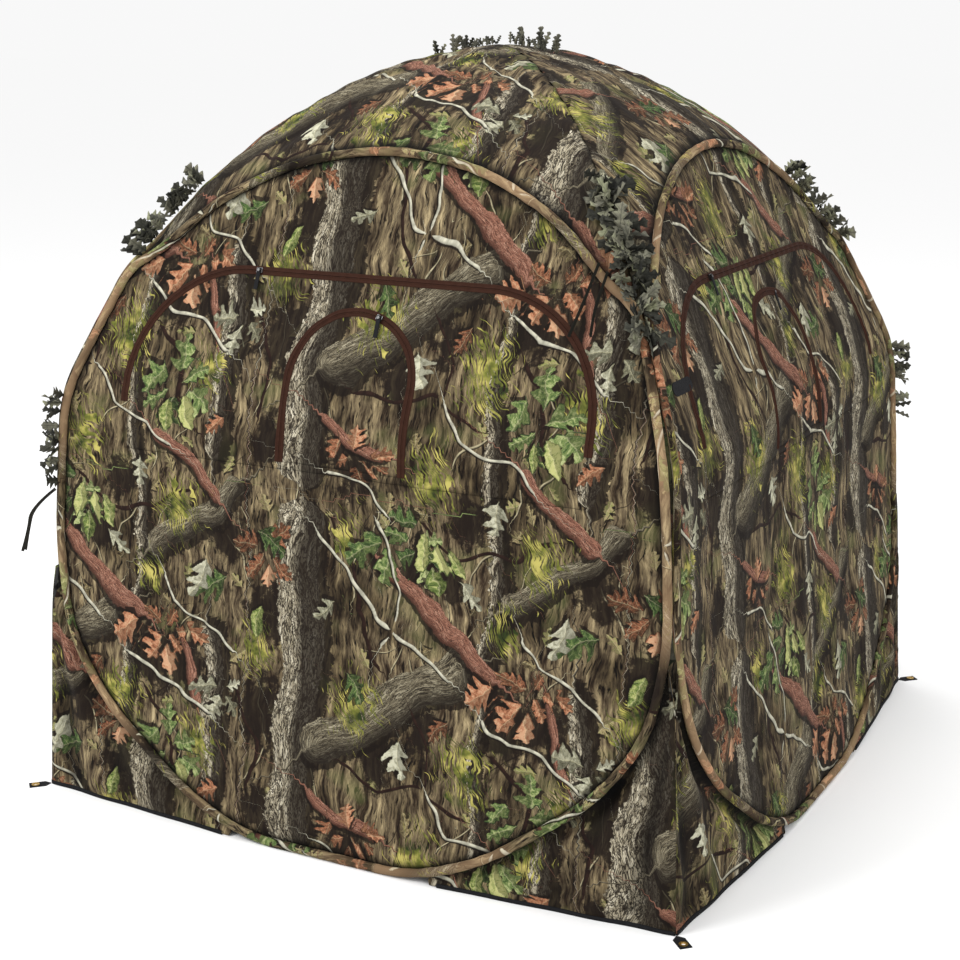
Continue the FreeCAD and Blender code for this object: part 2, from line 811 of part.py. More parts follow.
def make_ribbons():
    """Narrow tie ribbons: a pair on the front brow, a pair on the left front corner."""
    routes = {
        "tie_ribbon_brow_1": slope_ribbon(
            [(507, 1249, 11), (503, 1222, 18), (486, 1166, 9), (470, 1112, 10)]
        ),
        "tie_ribbon_brow_2": slope_ribbon(
            [(528, 1234, 11), (525, 1206, 18), (512, 1158, 9), (516, 1116, 12)]
        ),
        "tie_ribbon_corner_1": [
            (-724, -742, 690),
            (-760, -772, 655),
            (-766, -786, 606),
            (-778, -786, 556),
        ],
        "tie_ribbon_corner_2": [
            (-741, -721, 684),
            (-778, -762, 645),
            (-786, -764, 594),
            (-800, -772, 546),
        ],
    }
    for node, points in routes.items():
        path = rounded([Vector(*point) for point in points])
        print(node, "length", round(path.Length, 1))
        feature(node, swept_tube(path, dim("ribbon_radius")))


# ---------------------------------------------------------------- build


def check_and_export():
    doc.recompute()
    for item in doc.Objects:
        state = set(item.State)
        if state & {"Invalid", "Error"}:
            raise RuntimeError(f"{item.Label} failed: {item.State}")
    os.makedirs("parts", exist_ok=True)
    for item in NODES:
        shape = item.Shape
        if shape.isNull() or not shape.isValid() or not shape.Solids:
            raise RuntimeError(f"{item.Label} has no valid solid")
        shape.exportStep(f"parts/{item.Label}.step")
    print(len(NODES), "nodes written")


make_walls()
make_windows()
make_door()
make_sliders()
make_hoops()
make_ferrules()
make_roof()
make_skirts()
make_hem()
make_stake_tabs()
make_corner_tabs()
make_leaves()
make_ribbons()
check_and_export()
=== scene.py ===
"""The looks of the pop up ground blind: camouflage cloth, zips, sleeves, leaf trim and webbing.

Metres, +Z up, the front wall faces -Y. A wall is described by (across, height) or, on its upper
slope, (across, along), then stood off its outer face and turned about Z into place.
"""
import json
import math

import bpy
import numpy as np
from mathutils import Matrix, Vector, geometry, kdtree


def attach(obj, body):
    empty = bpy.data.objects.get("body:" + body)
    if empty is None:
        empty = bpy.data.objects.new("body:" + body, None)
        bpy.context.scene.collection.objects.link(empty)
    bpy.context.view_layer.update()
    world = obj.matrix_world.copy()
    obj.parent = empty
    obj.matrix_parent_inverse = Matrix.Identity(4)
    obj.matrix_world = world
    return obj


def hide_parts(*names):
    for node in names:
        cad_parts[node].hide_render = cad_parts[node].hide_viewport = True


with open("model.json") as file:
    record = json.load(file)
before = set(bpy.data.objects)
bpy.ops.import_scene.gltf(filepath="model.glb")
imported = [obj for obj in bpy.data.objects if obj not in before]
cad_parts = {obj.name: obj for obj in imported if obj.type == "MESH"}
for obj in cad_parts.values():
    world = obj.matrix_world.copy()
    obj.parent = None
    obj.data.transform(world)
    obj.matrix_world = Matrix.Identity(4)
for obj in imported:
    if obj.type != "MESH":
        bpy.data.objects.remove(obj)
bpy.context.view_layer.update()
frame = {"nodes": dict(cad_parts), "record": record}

WALLS = {"front": 0, "right": 90, "back": 180, "left": 270}
WINDOW_WALLS = ("front", "right", "left")
CORNERS = {"front_right": 0, "back_right": 90, "back_left": 180, "front_left": 270}

# ---------------------------------------------------------------- driving dimensions

HALF = 0.762
STOP_HEIGHTS = (0.0, 0.52, 0.90, 1.56)
STOP_INSETS = (-0.040, 0.025, 0.042, 0.3126)
BEND_WIDTHS = (0.0, 0.06, 0.07)
KNEE = STOP_HEIGHTS[2]
KNEE_INSET = STOP_INSETS[2]
LEAN = math.atan((STOP_INSETS[3] - KNEE_INSET) / (STOP_HEIGHTS[3] - KNEE))
APEX = 1.640
APEX_SLOPE = math.radians(5.7)
ROOF_RADIUS = 0.969
ROOF_AXIS = APEX - 1.300
SEAM_GAP = 0.0125
SEAM_STRIP_START = 0.46
# how far painted shade spreads from a hoop and from a zip's arch, and how wide a roof hip's seam is
HOOP_SHADE_SPREAD = 0.019
ARCH_SHADE_SPREAD = 0.012
HIP_SEAM = 0.006
# the fold that the skirts sink into beside a hoop: its place, width and depth, and the tight rim
GUTTER_PLACE = 0.018
GUTTER_WIDE = 0.016
GUTTER_DEEP = 0.018
RIM_TIGHT = 0.007
BROW_START = 1.170
HOOP_RISE = 0.010
SLEEVE_RADIUS = 0.0088
CLOTH = 0.0012
HALF_GAP = 0.0004
MESH_STEP = 0.009

# (half width, corner radius, top along the slope, sill height, height its zip ends at)
WINDOW = (0.545, 0.260, 0.308, 0.800, 0.900)
SLOT = (0.145, 0.145, 0.238, 0.815, 0.815)
DOOR = (0.340, 0.220, 0.443, 0.110, 0.110)

SKIRT_START = 0.240
SEAM_SPLIT = 0.490
HEM_START = 0.262
HEM_TALL = 0.008

# ---------------------------------------------------------------- camera

CAMERA_PLACE = (1.954, -3.764, 1.737)
CAMERA_TURN = math.radians(27.437)
CAMERA_DROP = math.radians(12.457)


def make_camera():
    data = bpy.data.cameras.new("camera")
    data.lens = 69.375
    data.sensor_width = 36.0
    data.shift_x = -0.0257
    data.shift_y = -0.0751
    camera = bpy.data.objects.new("camera", data)
    camera.location = CAMERA_PLACE
    camera.rotation_euler = (math.pi / 2 - CAMERA_DROP, 0.0, CAMERA_TURN)
    bpy.context.scene.collection.objects.link(camera)
    bpy.context.scene.camera = camera


def clear_startup():
    for name in ("Cube", "Light", "Camera"):
        item = bpy.data.objects.get(name)
        if item is not None:
            bpy.data.objects.remove(item)


# the ribbons' routes, as in the CAD: on the front wall's slope, then free in the row frame
BROW_RIBBONS = {
    "tie_ribbon_brow_1": [
        (0.507, 1.249, 0.011), (0.503, 1.222, 0.018), (0.486, 1.166, 0.009), (0.470, 1.112, 0.010)
    ],
    "tie_ribbon_brow_2": [
        (0.528, 1.234, 0.011), (0.525, 1.206, 0.018), (0.512, 1.158, 0.009), (0.516, 1.116, 0.012)
    ],
}
CORNER_RIBBONS = {
    "tie_ribbon_corner_1": [
        (-0.724, -0.742, 0.690), (-0.760, -0.772, 0.655), (-0.766, -0.786, 0.606), (-0.778, -0.786, 0.556)
    ],
    "tie_ribbon_corner_2": [
        (-0.741, -0.721, 0.684), (-0.778, -0.762, 0.645), (-0.786, -0.764, 0.594), (-0.800, -0.772, 0.546)
    ],
}
RIBBON_WIDTH = 0.006


def slope_point(across, height, out):
    """A point in front of the front wall's slope, as the CAD places it."""
    y = KNEE_INSET + (height - KNEE) * math.tan(LEAN) - HALF - out
    return across, y, height


def make_ribbon(name, points):
    """A flat limp ribbon on its own NURBS line."""
    curve = bpy.data.curves.new(name, "CURVE")
    curve.dimensions = "3D"
    curve.extrude = RIBBON_WIDTH / 2
    curve.bevel_depth = 0.0004
    curve.resolution_u = 24
    spline = curve.splines.new("NURBS")
    spline.points.add(len(points) - 1)
    for point, place in zip(spline.points, points):
        point.co = (*place, 1.0)
        point.tilt = math.radians(20)
    spline.order_u = 3
    spline.use_endpoint_u = True
    ribbon = bpy.data.objects.new(f"piece_{name}", curve)
    bpy.context.scene.collection.objects.link(ribbon)
    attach(ribbon, "frame")
    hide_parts(name)
    return ribbon


clear_startup()
make_camera()
RIBBONS = [
    make_ribbon(name, [slope_point(*point) for point in points]) for name, points in BROW_RIBBONS.items()
]
RIBBONS += [make_ribbon(name, points) for name, points in CORNER_RIBBONS.items()]

# ---------------------------------------------------------------- node building


class Nodes:
    """Builds a material's node tree from short expressions; values are sockets or numbers."""

    def __init__(self, name):
        self.material = bpy.data.materials.new(name)
        self.material.use_nodes = True
        self.tree = self.material.node_tree
        self.tree.nodes.clear()

    def add(self, kind, inputs=None, **settings):
        node = self.tree.nodes.new(kind)
        for key, value in settings.items():
            setattr(node, key, value)
        for key, value in (inputs or {}).items():
            self.put(node.inputs[key], value)
        return node

    def put(self, socket, value):
        if isinstance(value, bpy.types.NodeSocket):
            self.tree.links.new(value, socket)
        elif socket.type == "RGBA" and len(value) == 3:
            socket.default_value = (*value, 1.0)
        else:
            socket.default_value = value

    def calc(self, operation, *values):
        node = self.add("ShaderNodeMath", operation=operation)
        for socket, value in zip(node.inputs, values):
            self.put(socket, value)
        return node.outputs[0]

    def attribute(self, name, output="Vector"):
        return self.add("ShaderNodeAttribute", attribute_name=name).outputs[output]

    def split(self, vector):
        return self.add("ShaderNodeSeparateXYZ", {0: vector}).outputs

    def join(self, x, y, z=0.0):
        return self.add("ShaderNodeCombineXYZ", {0: x, 1: y, 2: z}).outputs[0]

    def vector(self, operation, a, b):
        return self.add("ShaderNodeVectorMath", {0: a, 1: b}, operation=operation).outputs[0]

    def noise(self, vector, scale=1.0, detail=3.0, rough=0.55, output="Fac"):
        inputs = {"Vector": vector, "Scale": scale, "Detail": detail, "Roughness": rough}
        return self.add("ShaderNodeTexNoise", inputs).outputs[output]

    def step(self, value, low, high):
        """0 below low and 1 above high, smooth between them."""
        inputs = {"Value": value, "From Min": low, "From Max": high}
        node = self.add("ShaderNodeMapRange", inputs, interpolation_type="SMOOTHSTEP")
        return node.outputs["Result"]

    def ramp(self, value, stops):
        node = self.add("ShaderNodeValToRGB", {"Fac": value})
        ramp = node.color_ramp
        ramp.elements.remove(ramp.elements[1])
        ramp.elements[0].position = stops[0][0]
        ramp.elements[0].color = (*stops[0][1], 1.0)
        for place, colour in stops[1:]:
            ramp.elements.new(place).color = (*colour, 1.0)
        return node.outputs["Color"]

    def mix(self, share, first, second, blend="MIX"):
        node = self.add("ShaderNodeMix", data_type="RGBA", blend_type=blend)
        self.put(node.inputs[0], share)
        self.put(node.inputs[6], first)
        self.put(node.inputs[7], second)
        return node.outputs[2]

    def bump(self, height, strength, distance, normal=None):
        inputs = {"Height": height, "Strength": strength, "Distance": distance}
        if normal is not None:
            inputs["Normal"] = normal
        return self.add("ShaderNodeBump", inputs).outputs[0]

    def finish(self, colour, roughness=0.8, normal=None, **settings):
        shader = self.add("ShaderNodeBsdfPrincipled")
        self.put(shader.inputs["Base Color"], colour)
        self.put(shader.inputs["Roughness"], roughness)
        if normal is not None:
            self.put(shader.inputs["Normal"], normal)
        for key, value in settings.items():
            shader.inputs[key.replace("_", " ")].default_value = value
        out = self.add("ShaderNodeOutputMaterial")
        self.tree.links.new(shader.outputs[0], out.inputs[0])
        return self.material


def tone(red, green, blue):
    """A colour given in 0..255 display values, as the linear values that shaders take."""
    return tuple((v / 255.0) ** 2.2 for v in (red, green, blue))


# ---------------------------------------------------------------- the print: one repeat

REPEAT = (0.86, 0.78)

TRUNKS = [
    ([(0.13, 0.0), (0.115, 0.20), (0.14, 0.42), (0.122, 0.60), (0.13, 0.78)], 0.050),
    ([(0.57, 0.0), (0.545, 0.22), (0.56, 0.47), (0.585, 0.62), (0.57, 0.78)], 0.013),
    ([(0.775, 0.06), (0.785, 0.27), (0.768, 0.45)], 0.022),
]
LOGS = [
    ([(0.19, 0.255), (0.29, 0.315), (0.41, 0.410), (0.50, 0.455)], 0.041),
    ([(0.62, 0.615), (0.71, 0.668), (0.83, 0.765)], 0.027),
]
BOUGHS = [
    ([(0.335, 0.650), (0.405, 0.598), (0.49, 0.520), (0.585, 0.455)], 0.0185),
    ([(0.180, 0.150), (0.245, 0.118), (0.325, 0.095)], 0.014),
    ([(0.700, 0.420), (0.722, 0.350), (0.752, 0.290)], 0.010),
    ([(0.640, 0.080), (0.700, 0.035), (0.775, -0.030)], 0.016),
]
DARK_TWIGS = [
    ([(0.20, 0.74), (0.26, 0.66), (0.27, 0.55), (0.33, 0.44)], 0.0050),
    ([(0.42, 0.74), (0.50, 0.69), (0.61, 0.70), (0.70, 0.75)], 0.0042),
    ([(0.60, 0.30), (0.66, 0.24), (0.67, 0.16), (0.73, 0.10)], 0.0048),
    ([(0.24, 0.22), (0.33, 0.19), (0.42, 0.21), (0.52, 0.17)], 0.0040),
    ([(0.40, 0.36), (0.45, 0.29), (0.44, 0.20)], 0.0036),
    ([(-0.02, 0.34), (0.03, 0.25), (0.02, 0.14)], 0.0045),
]
PALE_TWIGS = [
    ([(0.16, 0.70), (0.24, 0.635), (0.31, 0.540), (0.40, 0.500), (0.47, 0.455)], 0.0040),
    ([(0.30, 0.74), (0.345, 0.68), (0.36, 0.60), (0.335, 0.50)], 0.0028),
    ([(0.56, 0.38), (0.63, 0.335), (0.70, 0.325), (0.78, 0.27)], 0.0036),
    ([(0.45, 0.20), (0.50, 0.13), (0.60, 0.105), (0.66, 0.06)], 0.0032),
    ([(0.20, 0.05), (0.27, 0.03), (0.32, -0.03)], 0.0030),
    ([(0.64, 0.56), (0.68, 0.50), (0.76, 0.48), (0.82, 0.42)], 0.0030),
]

# leaves: (x, y, length, heading in degrees, shade)
OAK_LEAVES = [
    (0.345, 0.700, 0.115, 205, 0.55),
    (0.360, 0.705, 0.105, 250, 0.70),
    (0.415, 0.735, 0.095, 170, 0.45),
    (0.640, 0.230, 0.090, 230, 0.60),
    (0.250, 0.420, 0.070, 300, 0.40),
    (0.800, 0.560, 0.085, 195, 0.50),
    (0.030, 0.680, 0.080, 330, 0.35),
]
SLIM_LEAVES = [
    (0.425, 0.725, 0.082, 262, 0.85),
    (0.450, 0.722, 0.095, 280, 0.95),
    (0.478, 0.715, 0.080, 300, 0.75),
    (0.440, 0.690, 0.090, 270, 0.55),
    (0.655, 0.160, 0.070, 275, 0.70),
    (0.680, 0.165, 0.075, 300, 0.90),
    (0.040, 0.520, 0.070, 250, 0.60),
]
RUST_LEAVES = [
    (0.585, 0.435, 0.080, 200, 0.75),
    (0.640, 0.430, 0.090, 285, 0.90),
    (0.700, 0.460, 0.075, 330, 0.65),
    (0.230, 0.115, 0.070, 250, 0.55),
    (0.290, 0.090, 0.062, 320, 0.45),
    (0.480, 0.350, 0.055, 240, 0.35),
    (0.800, 0.130, 0.060, 220, 0.60),
]
PALE_LEAVES = [
    (0.370, 0.300, 0.085, 285, 0.80),
    (0.500, 0.640, 0.070, 320, 0.60),
    (0.740, 0.600, 0.080, 250, 0.70),
    (0.210, 0.560, 0.060, 210, 0.50),
    (0.580, 0.035, 0.075, 260, 0.65),
]


def scattered_leaves(count, seed, short, long):
    """Small leaves strewn over the repeat."""
    source = np.random.default_rng(seed)
    return [
        (
            source.uniform(0, REPEAT[0]), source.uniform(0, REPEAT[1]), source.uniform(short, long),
            source.uniform(0, 360), source.uniform(0.15, 0.95),
        )
        for _ in range(count)
    ]


def scattered_stalks(count, seed, half):
    """Thin leaning stalks strewn over the repeat."""
    source = np.random.default_rng(seed)
    stalks = []
    for _ in range(count):
        x, y = source.uniform(0, REPEAT[0]), source.uniform(0, REPEAT[1])
        angle = math.radians(source.normal(82, 24))
        length = source.uniform(0.05, 0.13)
        swing = source.uniform(-0.014, 0.014)
        across = (-math.sin(angle) * swing, math.cos(angle) * swing)
        middle = (x + math.cos(angle) * length / 2 + across[0], y + math.sin(angle) * length / 2 + across[1])
        end = (x + math.cos(angle) * length, y + math.sin(angle) * length)
        stalks.append(([(x, y), middle, end], half * source.uniform(0.7, 1.3)))
    return stalks


def clusters(middles, count, seed, short, long):
    """Leaves that spread from the middles of their clusters."""
    source = np.random.default_rng(seed)
    leaves = []
    for x, y, first in middles:
        for k in range(count):
            heading = first + (k + source.uniform(-0.3, 0.3)) * 300.0 / count
            start = source.uniform(0.004, 0.020)
            angle = math.radians(heading)
            place = (x + start * math.cos(angle), y + start * math.sin(angle))
            leaves.append((*place, source.uniform(short, long), heading, source.uniform(0.25, 0.95)))
    return leaves


LITTER = scattered_leaves(52, 4, 0.024, 0.046)
STALKS = scattered_stalks(34, 9, 0.0015)
BRAMBLES = scattered_stalks(44, 21, 0.0011)
OAK_LEAVES += clusters([(0.405, 0.700, 150), (0.665, 0.190, 200)], 5, 31, 0.060, 0.095)
RUST_LEAVES += clusters([(0.655, 0.445, 170), (0.270, 0.090, 200), (0.045, 0.640, 150)], 5, 32, 0.045, 0.078)
PALE_LEAVES += clusters([(0.800, 0.330, 180)], 4, 33, 0.045, 0.070)
# soft patches: (x, y, radius)
GLOOM = [
    (0.055, 0.30, 0.085), (0.060, 0.52, 0.075), (0.050, 0.09, 0.060), (0.62, 0.375, 0.085),
    (0.70, 0.385, 0.070), (0.41, 0.655, 0.060), (0.475, 0.640, 0.050), (0.26, 0.055, 0.070),
    (0.33, 0.245, 0.055), (0.43, 0.315, 0.050), (0.80, 0.665, 0.060), (0.52, 0.760, 0.055),
]
TUFTS = [
    (0.27, 0.355, 0.070), (0.53, 0.270, 0.075), (0.74, 0.210, 0.065), (0.68, 0.705, 0.070),
    (0.24, 0.700, 0.050), (0.43, 0.060, 0.070), (0.02, 0.430, 0.055), (0.60, 0.560, 0.045),
]


REACH = 0.07


def tiled(items, spots):
    """The items' copies, as (item, right, up), that reach into this repeat from any side."""
    copies = []
    for item in items:
        places = np.array(spots(item))
        low, high = places.min(axis=0) - REACH, places.max(axis=0) + REACH
        for right in (-REPEAT[0], 0.0, REPEAT[0]):
            for up in (-REPEAT[1], 0.0, REPEAT[1]):
                reaches = low[0] + right < REPEAT[0] and high[0] + right > 0
                if reaches and low[1] + up < REPEAT[1] and high[1] + up > 0:
                    copies.append((item, right, up))
    return copies


def limb_layer(points, limbs):
    """For each point: signed distance across the nearest limb, distance along it, half width."""
    count = len(points)
    best = np.full(count, 9.0)
    second = np.full(count, 9.0)
    found = np.zeros((count, 3))
    for (corners, half), right, up in tiled(limbs, lambda limb: limb[0]):
        line = [(x + right, y + up) for x, y in corners]
        near = np.full(count, 9.0)
        data = np.zeros((count, 2))
        run = 0.0
        for start, end in zip(line, line[1:]):
            start = np.array(start)
            heading = np.array(end) - start
            length = math.hypot(*heading)
            heading = heading / length
            offset = points - start
            along = offset @ heading
            across = offset @ np.array([-heading[1], heading[0]])
            beyond = np.maximum(np.maximum(-along, along - length), 0.0)
            distance = np.hypot(across, beyond)
            closer = distance < near
            near = np.where(closer, distance, near)
            side = np.where(across < 0, -1.0, 1.0)
            signed = np.where(beyond > 0, side * distance, across)
            data[closer, 0] = signed[closer]
            data[closer, 1] = (run + along)[closer]
            run += length
        score = near - half
        second = np.where(score < best, best, np.minimum(second, score))
        closer = score < best
        best = np.where(closer, score, best)
        found[closer, :2] = data[closer]
        found[closer, 2] = half
    room = np.clip((second - best - 0.004) / 0.008, 0.0, 1.0)
    found[:, 2] = found[:, 2] * room - 0.001 * (1 - room)
    return found


def leaf_layer(points, leaves):
    """For each point: place along and across the nearest leaf, over its length, and its shade."""
    count = len(points)
    best = np.full(count, 9.0)
    second = np.full(count, 9.0)
    found = np.zeros((count, 3))
    for (x, y, length, heading, shade), right, up in tiled(leaves, lambda leaf: [leaf[:2]]):
        angle = math.radians(heading)
        forward = np.array([math.cos(angle), math.sin(angle)])
        offset = points - np.array([x + right, y + up])
        along = offset @ forward / length
        across = offset @ np.array([-forward[1], forward[0]]) / length
        score = np.hypot(along - 0.5, across * 1.3) * length
        second = np.where(score < best, best, np.minimum(second, score))
        closer = score < best
        best = np.where(closer, score, best)
        found[closer] = np.stack([along, across, np.full(count, shade)], 1)[closer]
    found[:, 2] = np.where(second - best < 0.009, -1.0, found[:, 2])
    return found


def patch_layer(points, patches):
    """How deep each point lies in the nearest soft patch: 1 at its middle, 0 at its rim."""
    depth = np.full(len(points), -1.0)
    for (x, y, radius), right, up in tiled(patches, lambda patch: [patch[:2]]):
        distance = np.hypot(points[:, 0] - x - right, (points[:, 1] - y - up) * 0.8)
        depth = np.maximum(depth, 1.0 - distance / radius)
    return depth


LIMB_LAYERS = {
    "trunk": TRUNKS,
    "log": LOGS,
    "bough": BOUGHS,
    "dark_twig": DARK_TWIGS,
    "pale_twig": PALE_TWIGS,
    "stalk": STALKS,
    "bramble": BRAMBLES,
}
LEAF_LAYERS = {
    "litter": LITTER,
    "oak_leaf": OAK_LEAVES,
    "slim_leaf": SLIM_LEAVES,
    "rust_leaf": RUST_LEAVES,
    "pale_leaf": PALE_LEAVES,
}
PATCH_LAYERS = {"gloom": GLOOM, "tuft": TUFTS}


def put_vectors(mesh, name, values):
    layer = mesh.attributes.new(name, "FLOAT_VECTOR", "POINT")
    layer.data.foreach_set("vector", np.asarray(values, dtype=np.float32).ravel())


def put_numbers(mesh, name, values):
    layer = mesh.attributes.new(name, "FLOAT", "POINT")
    layer.data.foreach_set("value", np.asarray(values, dtype=np.float32))


def print_cloth(mesh, places, painted_shade_and_fade=None):
    """Lays the print on a mesh: where its points are on the cloth, where painted shade darkens them and where
    they are faded.
    """
    if painted_shade_and_fade is not None:
        put_numbers(mesh, "painted_shade_and_fade", painted_shade_and_fade)
    places = np.asarray(places, dtype=float)
    put_vectors(mesh, "print", np.column_stack([places, np.zeros(len(places))]))
    x, y = places[:, 0], places[:, 1]
    sway = np.column_stack([waves(x, y, 71, 0.17), waves(x, y, 72, 0.17)]) * 0.008
    sway += np.column_stack([waves(x, y, 73, 0.06), waves(x, y, 74, 0.06)]) * 0.0022
    inside = np.mod(places + sway, np.array(REPEAT))
    for name, limbs in LIMB_LAYERS.items():
        put_vectors(mesh, name, limb_layer(inside, limbs))
    for name, leaves in LEAF_LAYERS.items():
        put_vectors(mesh, name, leaf_layer(inside, leaves))
    for name, patches in PATCH_LAYERS.items():
        put_numbers(mesh, name, patch_layer(inside, patches))


# ---------------------------------------------------------------- the print: its colours

INK = tone(26, 21, 17)
SOIL = tone(52, 42, 32)
BARK = tone(88, 77, 60)
FIBRE = tone(122, 108, 82)
STRAW = tone(168, 151, 116)


def ground_colour(nodes, cloth):
    """Upright fibres of old bark and dry grass."""
    sway = nodes.noise(cloth, 9.0, 2.0)
    x, y, _ = nodes.split(cloth)
    x = nodes.calc("MULTIPLY_ADD", sway, 0.05, x)
    upright = nodes.join(nodes.calc("MULTIPLY", x, 66.0), nodes.calc("MULTIPLY", y, 10.0))
    fibres = nodes.noise(upright, 1.0, 6.0, 0.68)
    stops = [(0.33, INK), (0.42, SOIL), (0.50, BARK), (0.58, FIBRE), (0.68, STRAW)]
    colour = nodes.ramp(fibres, stops)
    fine = nodes.join(nodes.calc("MULTIPLY", x, 170.0), nodes.calc("MULTIPLY", y, 26.0))
    cracks = nodes.step(nodes.noise(fine, 1.0, 3.0, 0.6), 0.36, 0.46)
    colour = nodes.mix(cracks, tone(26, 20, 15), colour)
    drift = nodes.noise(cloth, 5.5, 3.0)
    shaded = nodes.mix(1.0, colour, (0.36, 0.34, 0.32), "MULTIPLY")
    colour = nodes.mix(nodes.step(drift, 0.45, 0.62), colour, shaded)
    moss = nodes.step(nodes.noise(cloth, 8.0, 2.0), 0.56, 0.70)
    return nodes.mix(nodes.calc("MULTIPLY", moss, 0.35), colour, tone(96, 100, 62))


def limb_mask(nodes, name, ragged, shift=0.0):
    """Where a limb lies, with its place across it (-1 to 1) and along it."""
    across, along, half = nodes.split(nodes.attribute(name))
    rough = nodes.noise(nodes.join(nodes.calc("MULTIPLY", along, 70.0), shift * 90.0), 1.0, 4.0, 0.65)
    wobble = nodes.calc("MULTIPLY", nodes.calc("SUBTRACT", rough, 0.5), ragged)
    moved = nodes.calc("ADD", across, shift)
    spare = nodes.calc("SUBTRACT", nodes.calc("ADD", half, wobble), nodes.calc("ABSOLUTE", moved))
    place = nodes.calc("DIVIDE", across, nodes.calc("MAXIMUM", half, 0.001))
    return nodes.step(spare, -0.0004, 0.0012), place, along


def bark_plates(nodes, name, wide, long):
    """Plates of bark with dark cracks between them, over a limb's own coordinates."""
    across, along, _ = nodes.split(nodes.attribute(name))
    spot = nodes.join(nodes.calc("MULTIPLY", across, wide), nodes.calc("MULTIPLY", along, long))
    shake = nodes.noise(spot, 1.4, 4.0, 0.65, "Color")
    warp = nodes.vector("ADD", nodes.vector("MULTIPLY", shake, (1.3, 1.3, 0.0)), spot)
    cells = nodes.add("ShaderNodeTexVoronoi", {"Vector": warp}, feature="DISTANCE_TO_EDGE")
    return cells.outputs["Distance"], nodes.noise(warp, 2.0, 5.0, 0.7)


LIMB_STYLES = {
    # ragged edge, shadow's shift, plates per metre across and along, crack width, crack colour
    "trunk": (0.034, 0.020, (50.0, 13.0), 0.22, (34, 28, 23)),
    "log": (0.022, 0.014, (105.0, 13.0), 0.15, (34, 29, 24)),
    "bough": (0.014, 0.008, (150.0, 22.0), 0.12, (58, 38, 31)),
}
LIMB_STOPS = (0.33, 0.50, 0.68)
LIMB_TONES = {
    "trunk": [(84, 76, 62), (150, 141, 120), (208, 200, 178)],
    "log": [(56, 50, 40), (108, 100, 82), (172, 164, 140)],
    "bough": [(82, 54, 44), (130, 90, 74), (176, 138, 118)],
}


def lay_limb(nodes, colour, name, lit_from, lit_to):
    """One kind of limb with the shadow beside it; its shaded side turns dark."""
    ragged, shift, plates, crack, dark = LIMB_STYLES[name]
    mask, place, _ = limb_mask(nodes, name, ragged)
    shadow, _, _ = limb_mask(nodes, name, ragged * 1.2, shift)
    edge, grain = bark_plates(nodes, name, *plates)
    skin = nodes.ramp(grain, [(at, tone(*rgb)) for at, rgb in zip(LIMB_STOPS, LIMB_TONES[name])])
    skin = nodes.mix(nodes.step(edge, 0.01, crack), tone(*dark), skin)
    turned_away = nodes.step(place, lit_from, lit_to)
    skin = nodes.mix(nodes.calc("MULTIPLY", turned_away, 0.9), skin, tone(*(v * 0.95 for v in dark)))
    colour = nodes.mix(nodes.calc("MULTIPLY", shadow, 0.88), colour, INK)
    return nodes.mix(mask, colour, skin)


def lay_thin(nodes, colour, name, ragged, tint, shade=None):
    """Twigs and stalks, with a thin shadow under the pale ones."""
    if shade:
        shadow, _, _ = limb_mask(nodes, name, ragged, shade)
        colour = nodes.mix(nodes.calc("MULTIPLY", shadow, 0.9), colour, INK)
    mask, place, along = limb_mask(nodes, name, ragged)
    worn = nodes.noise(nodes.join(nodes.calc("MULTIPLY", along, 60.0), 3.0), 1.0, 3.0)
    body = nodes.mix(nodes.step(worn, 0.35, 0.65), tuple(v * 0.5 for v in tint), tint)
    body = nodes.mix(nodes.step(place, 0.2, -1.0), body, tuple(v * 0.45 for v in tint))
    return nodes.mix(mask, colour, body)


def lay_gloom(nodes, colour, cloth):
    depth = nodes.attribute("gloom", "Fac")
    ragged = nodes.noise(cloth, 30.0, 5.0, 0.7)
    deep = nodes.calc("MULTIPLY_ADD", nodes.calc("SUBTRACT", ragged, 0.5), 2.6, depth)
    return nodes.mix(nodes.calc("MULTIPLY", nodes.step(deep, 0.15, 0.45), 0.92), colour, tone(30, 24, 20))


def lay_tufts(nodes, colour, cloth):
    """Needles and moss: thin slanting strokes in green and yellow."""
    depth = nodes.attribute("tuft", "Fac")
    x, y, _ = nodes.split(cloth)
    slant = nodes.calc("MULTIPLY_ADD", y, 0.55, x)
    swing = nodes.calc("MULTIPLY_ADD", nodes.noise(cloth, 12.0, 2.0), 0.10, slant)
    spot = nodes.join(nodes.calc("MULTIPLY", swing, 250.0), nodes.calc("MULTIPLY", y, 22.0))
    strokes = nodes.noise(spot, 1.0, 2.0)
    hit = nodes.calc("MULTIPLY_ADD", nodes.calc("SUBTRACT", strokes, 0.5), 4.2, depth)
    hue = nodes.noise(cloth, 26.0, 3.0)
    stops = [(0.36, tone(44, 52, 28)), (0.5, tone(100, 102, 48)), (0.64, tone(168, 158, 88))]
    return nodes.mix(nodes.step(hit, 0.50, 0.66), colour, nodes.ramp(hue, stops))


def leaf_mask(nodes, spot, wide, lobes, depth):
    """Where a leaf lies, from its own coordinates: its width and its lobes' count and depth."""
    along, across, shade = nodes.split(spot)
    spare = nodes.calc("SUBTRACT", 1.0, along)
    belly = nodes.calc("MULTIPLY", along, spare)
    belly = nodes.calc("POWER", nodes.calc("MAXIMUM", belly, 0.0), 0.75)
    away = nodes.calc("ABSOLUTE", across)
    swept = nodes.calc("MULTIPLY_ADD", away, -0.55, along)
    wave = nodes.calc("COSINE", nodes.calc("MULTIPLY_ADD", swept, 6.283 * lobes, 2.4))
    edge = nodes.calc("MULTIPLY_ADD", wave, depth, 1.0 - depth)
    half = nodes.calc("MULTIPLY", nodes.calc("MULTIPLY", belly, wide), edge)
    margin = nodes.calc("SUBTRACT", half, away)
    seen = nodes.calc("GREATER_THAN", shade, 0.0)
    return nodes.calc("MULTIPLY", nodes.step(margin, 0.0, 0.015), seen), margin


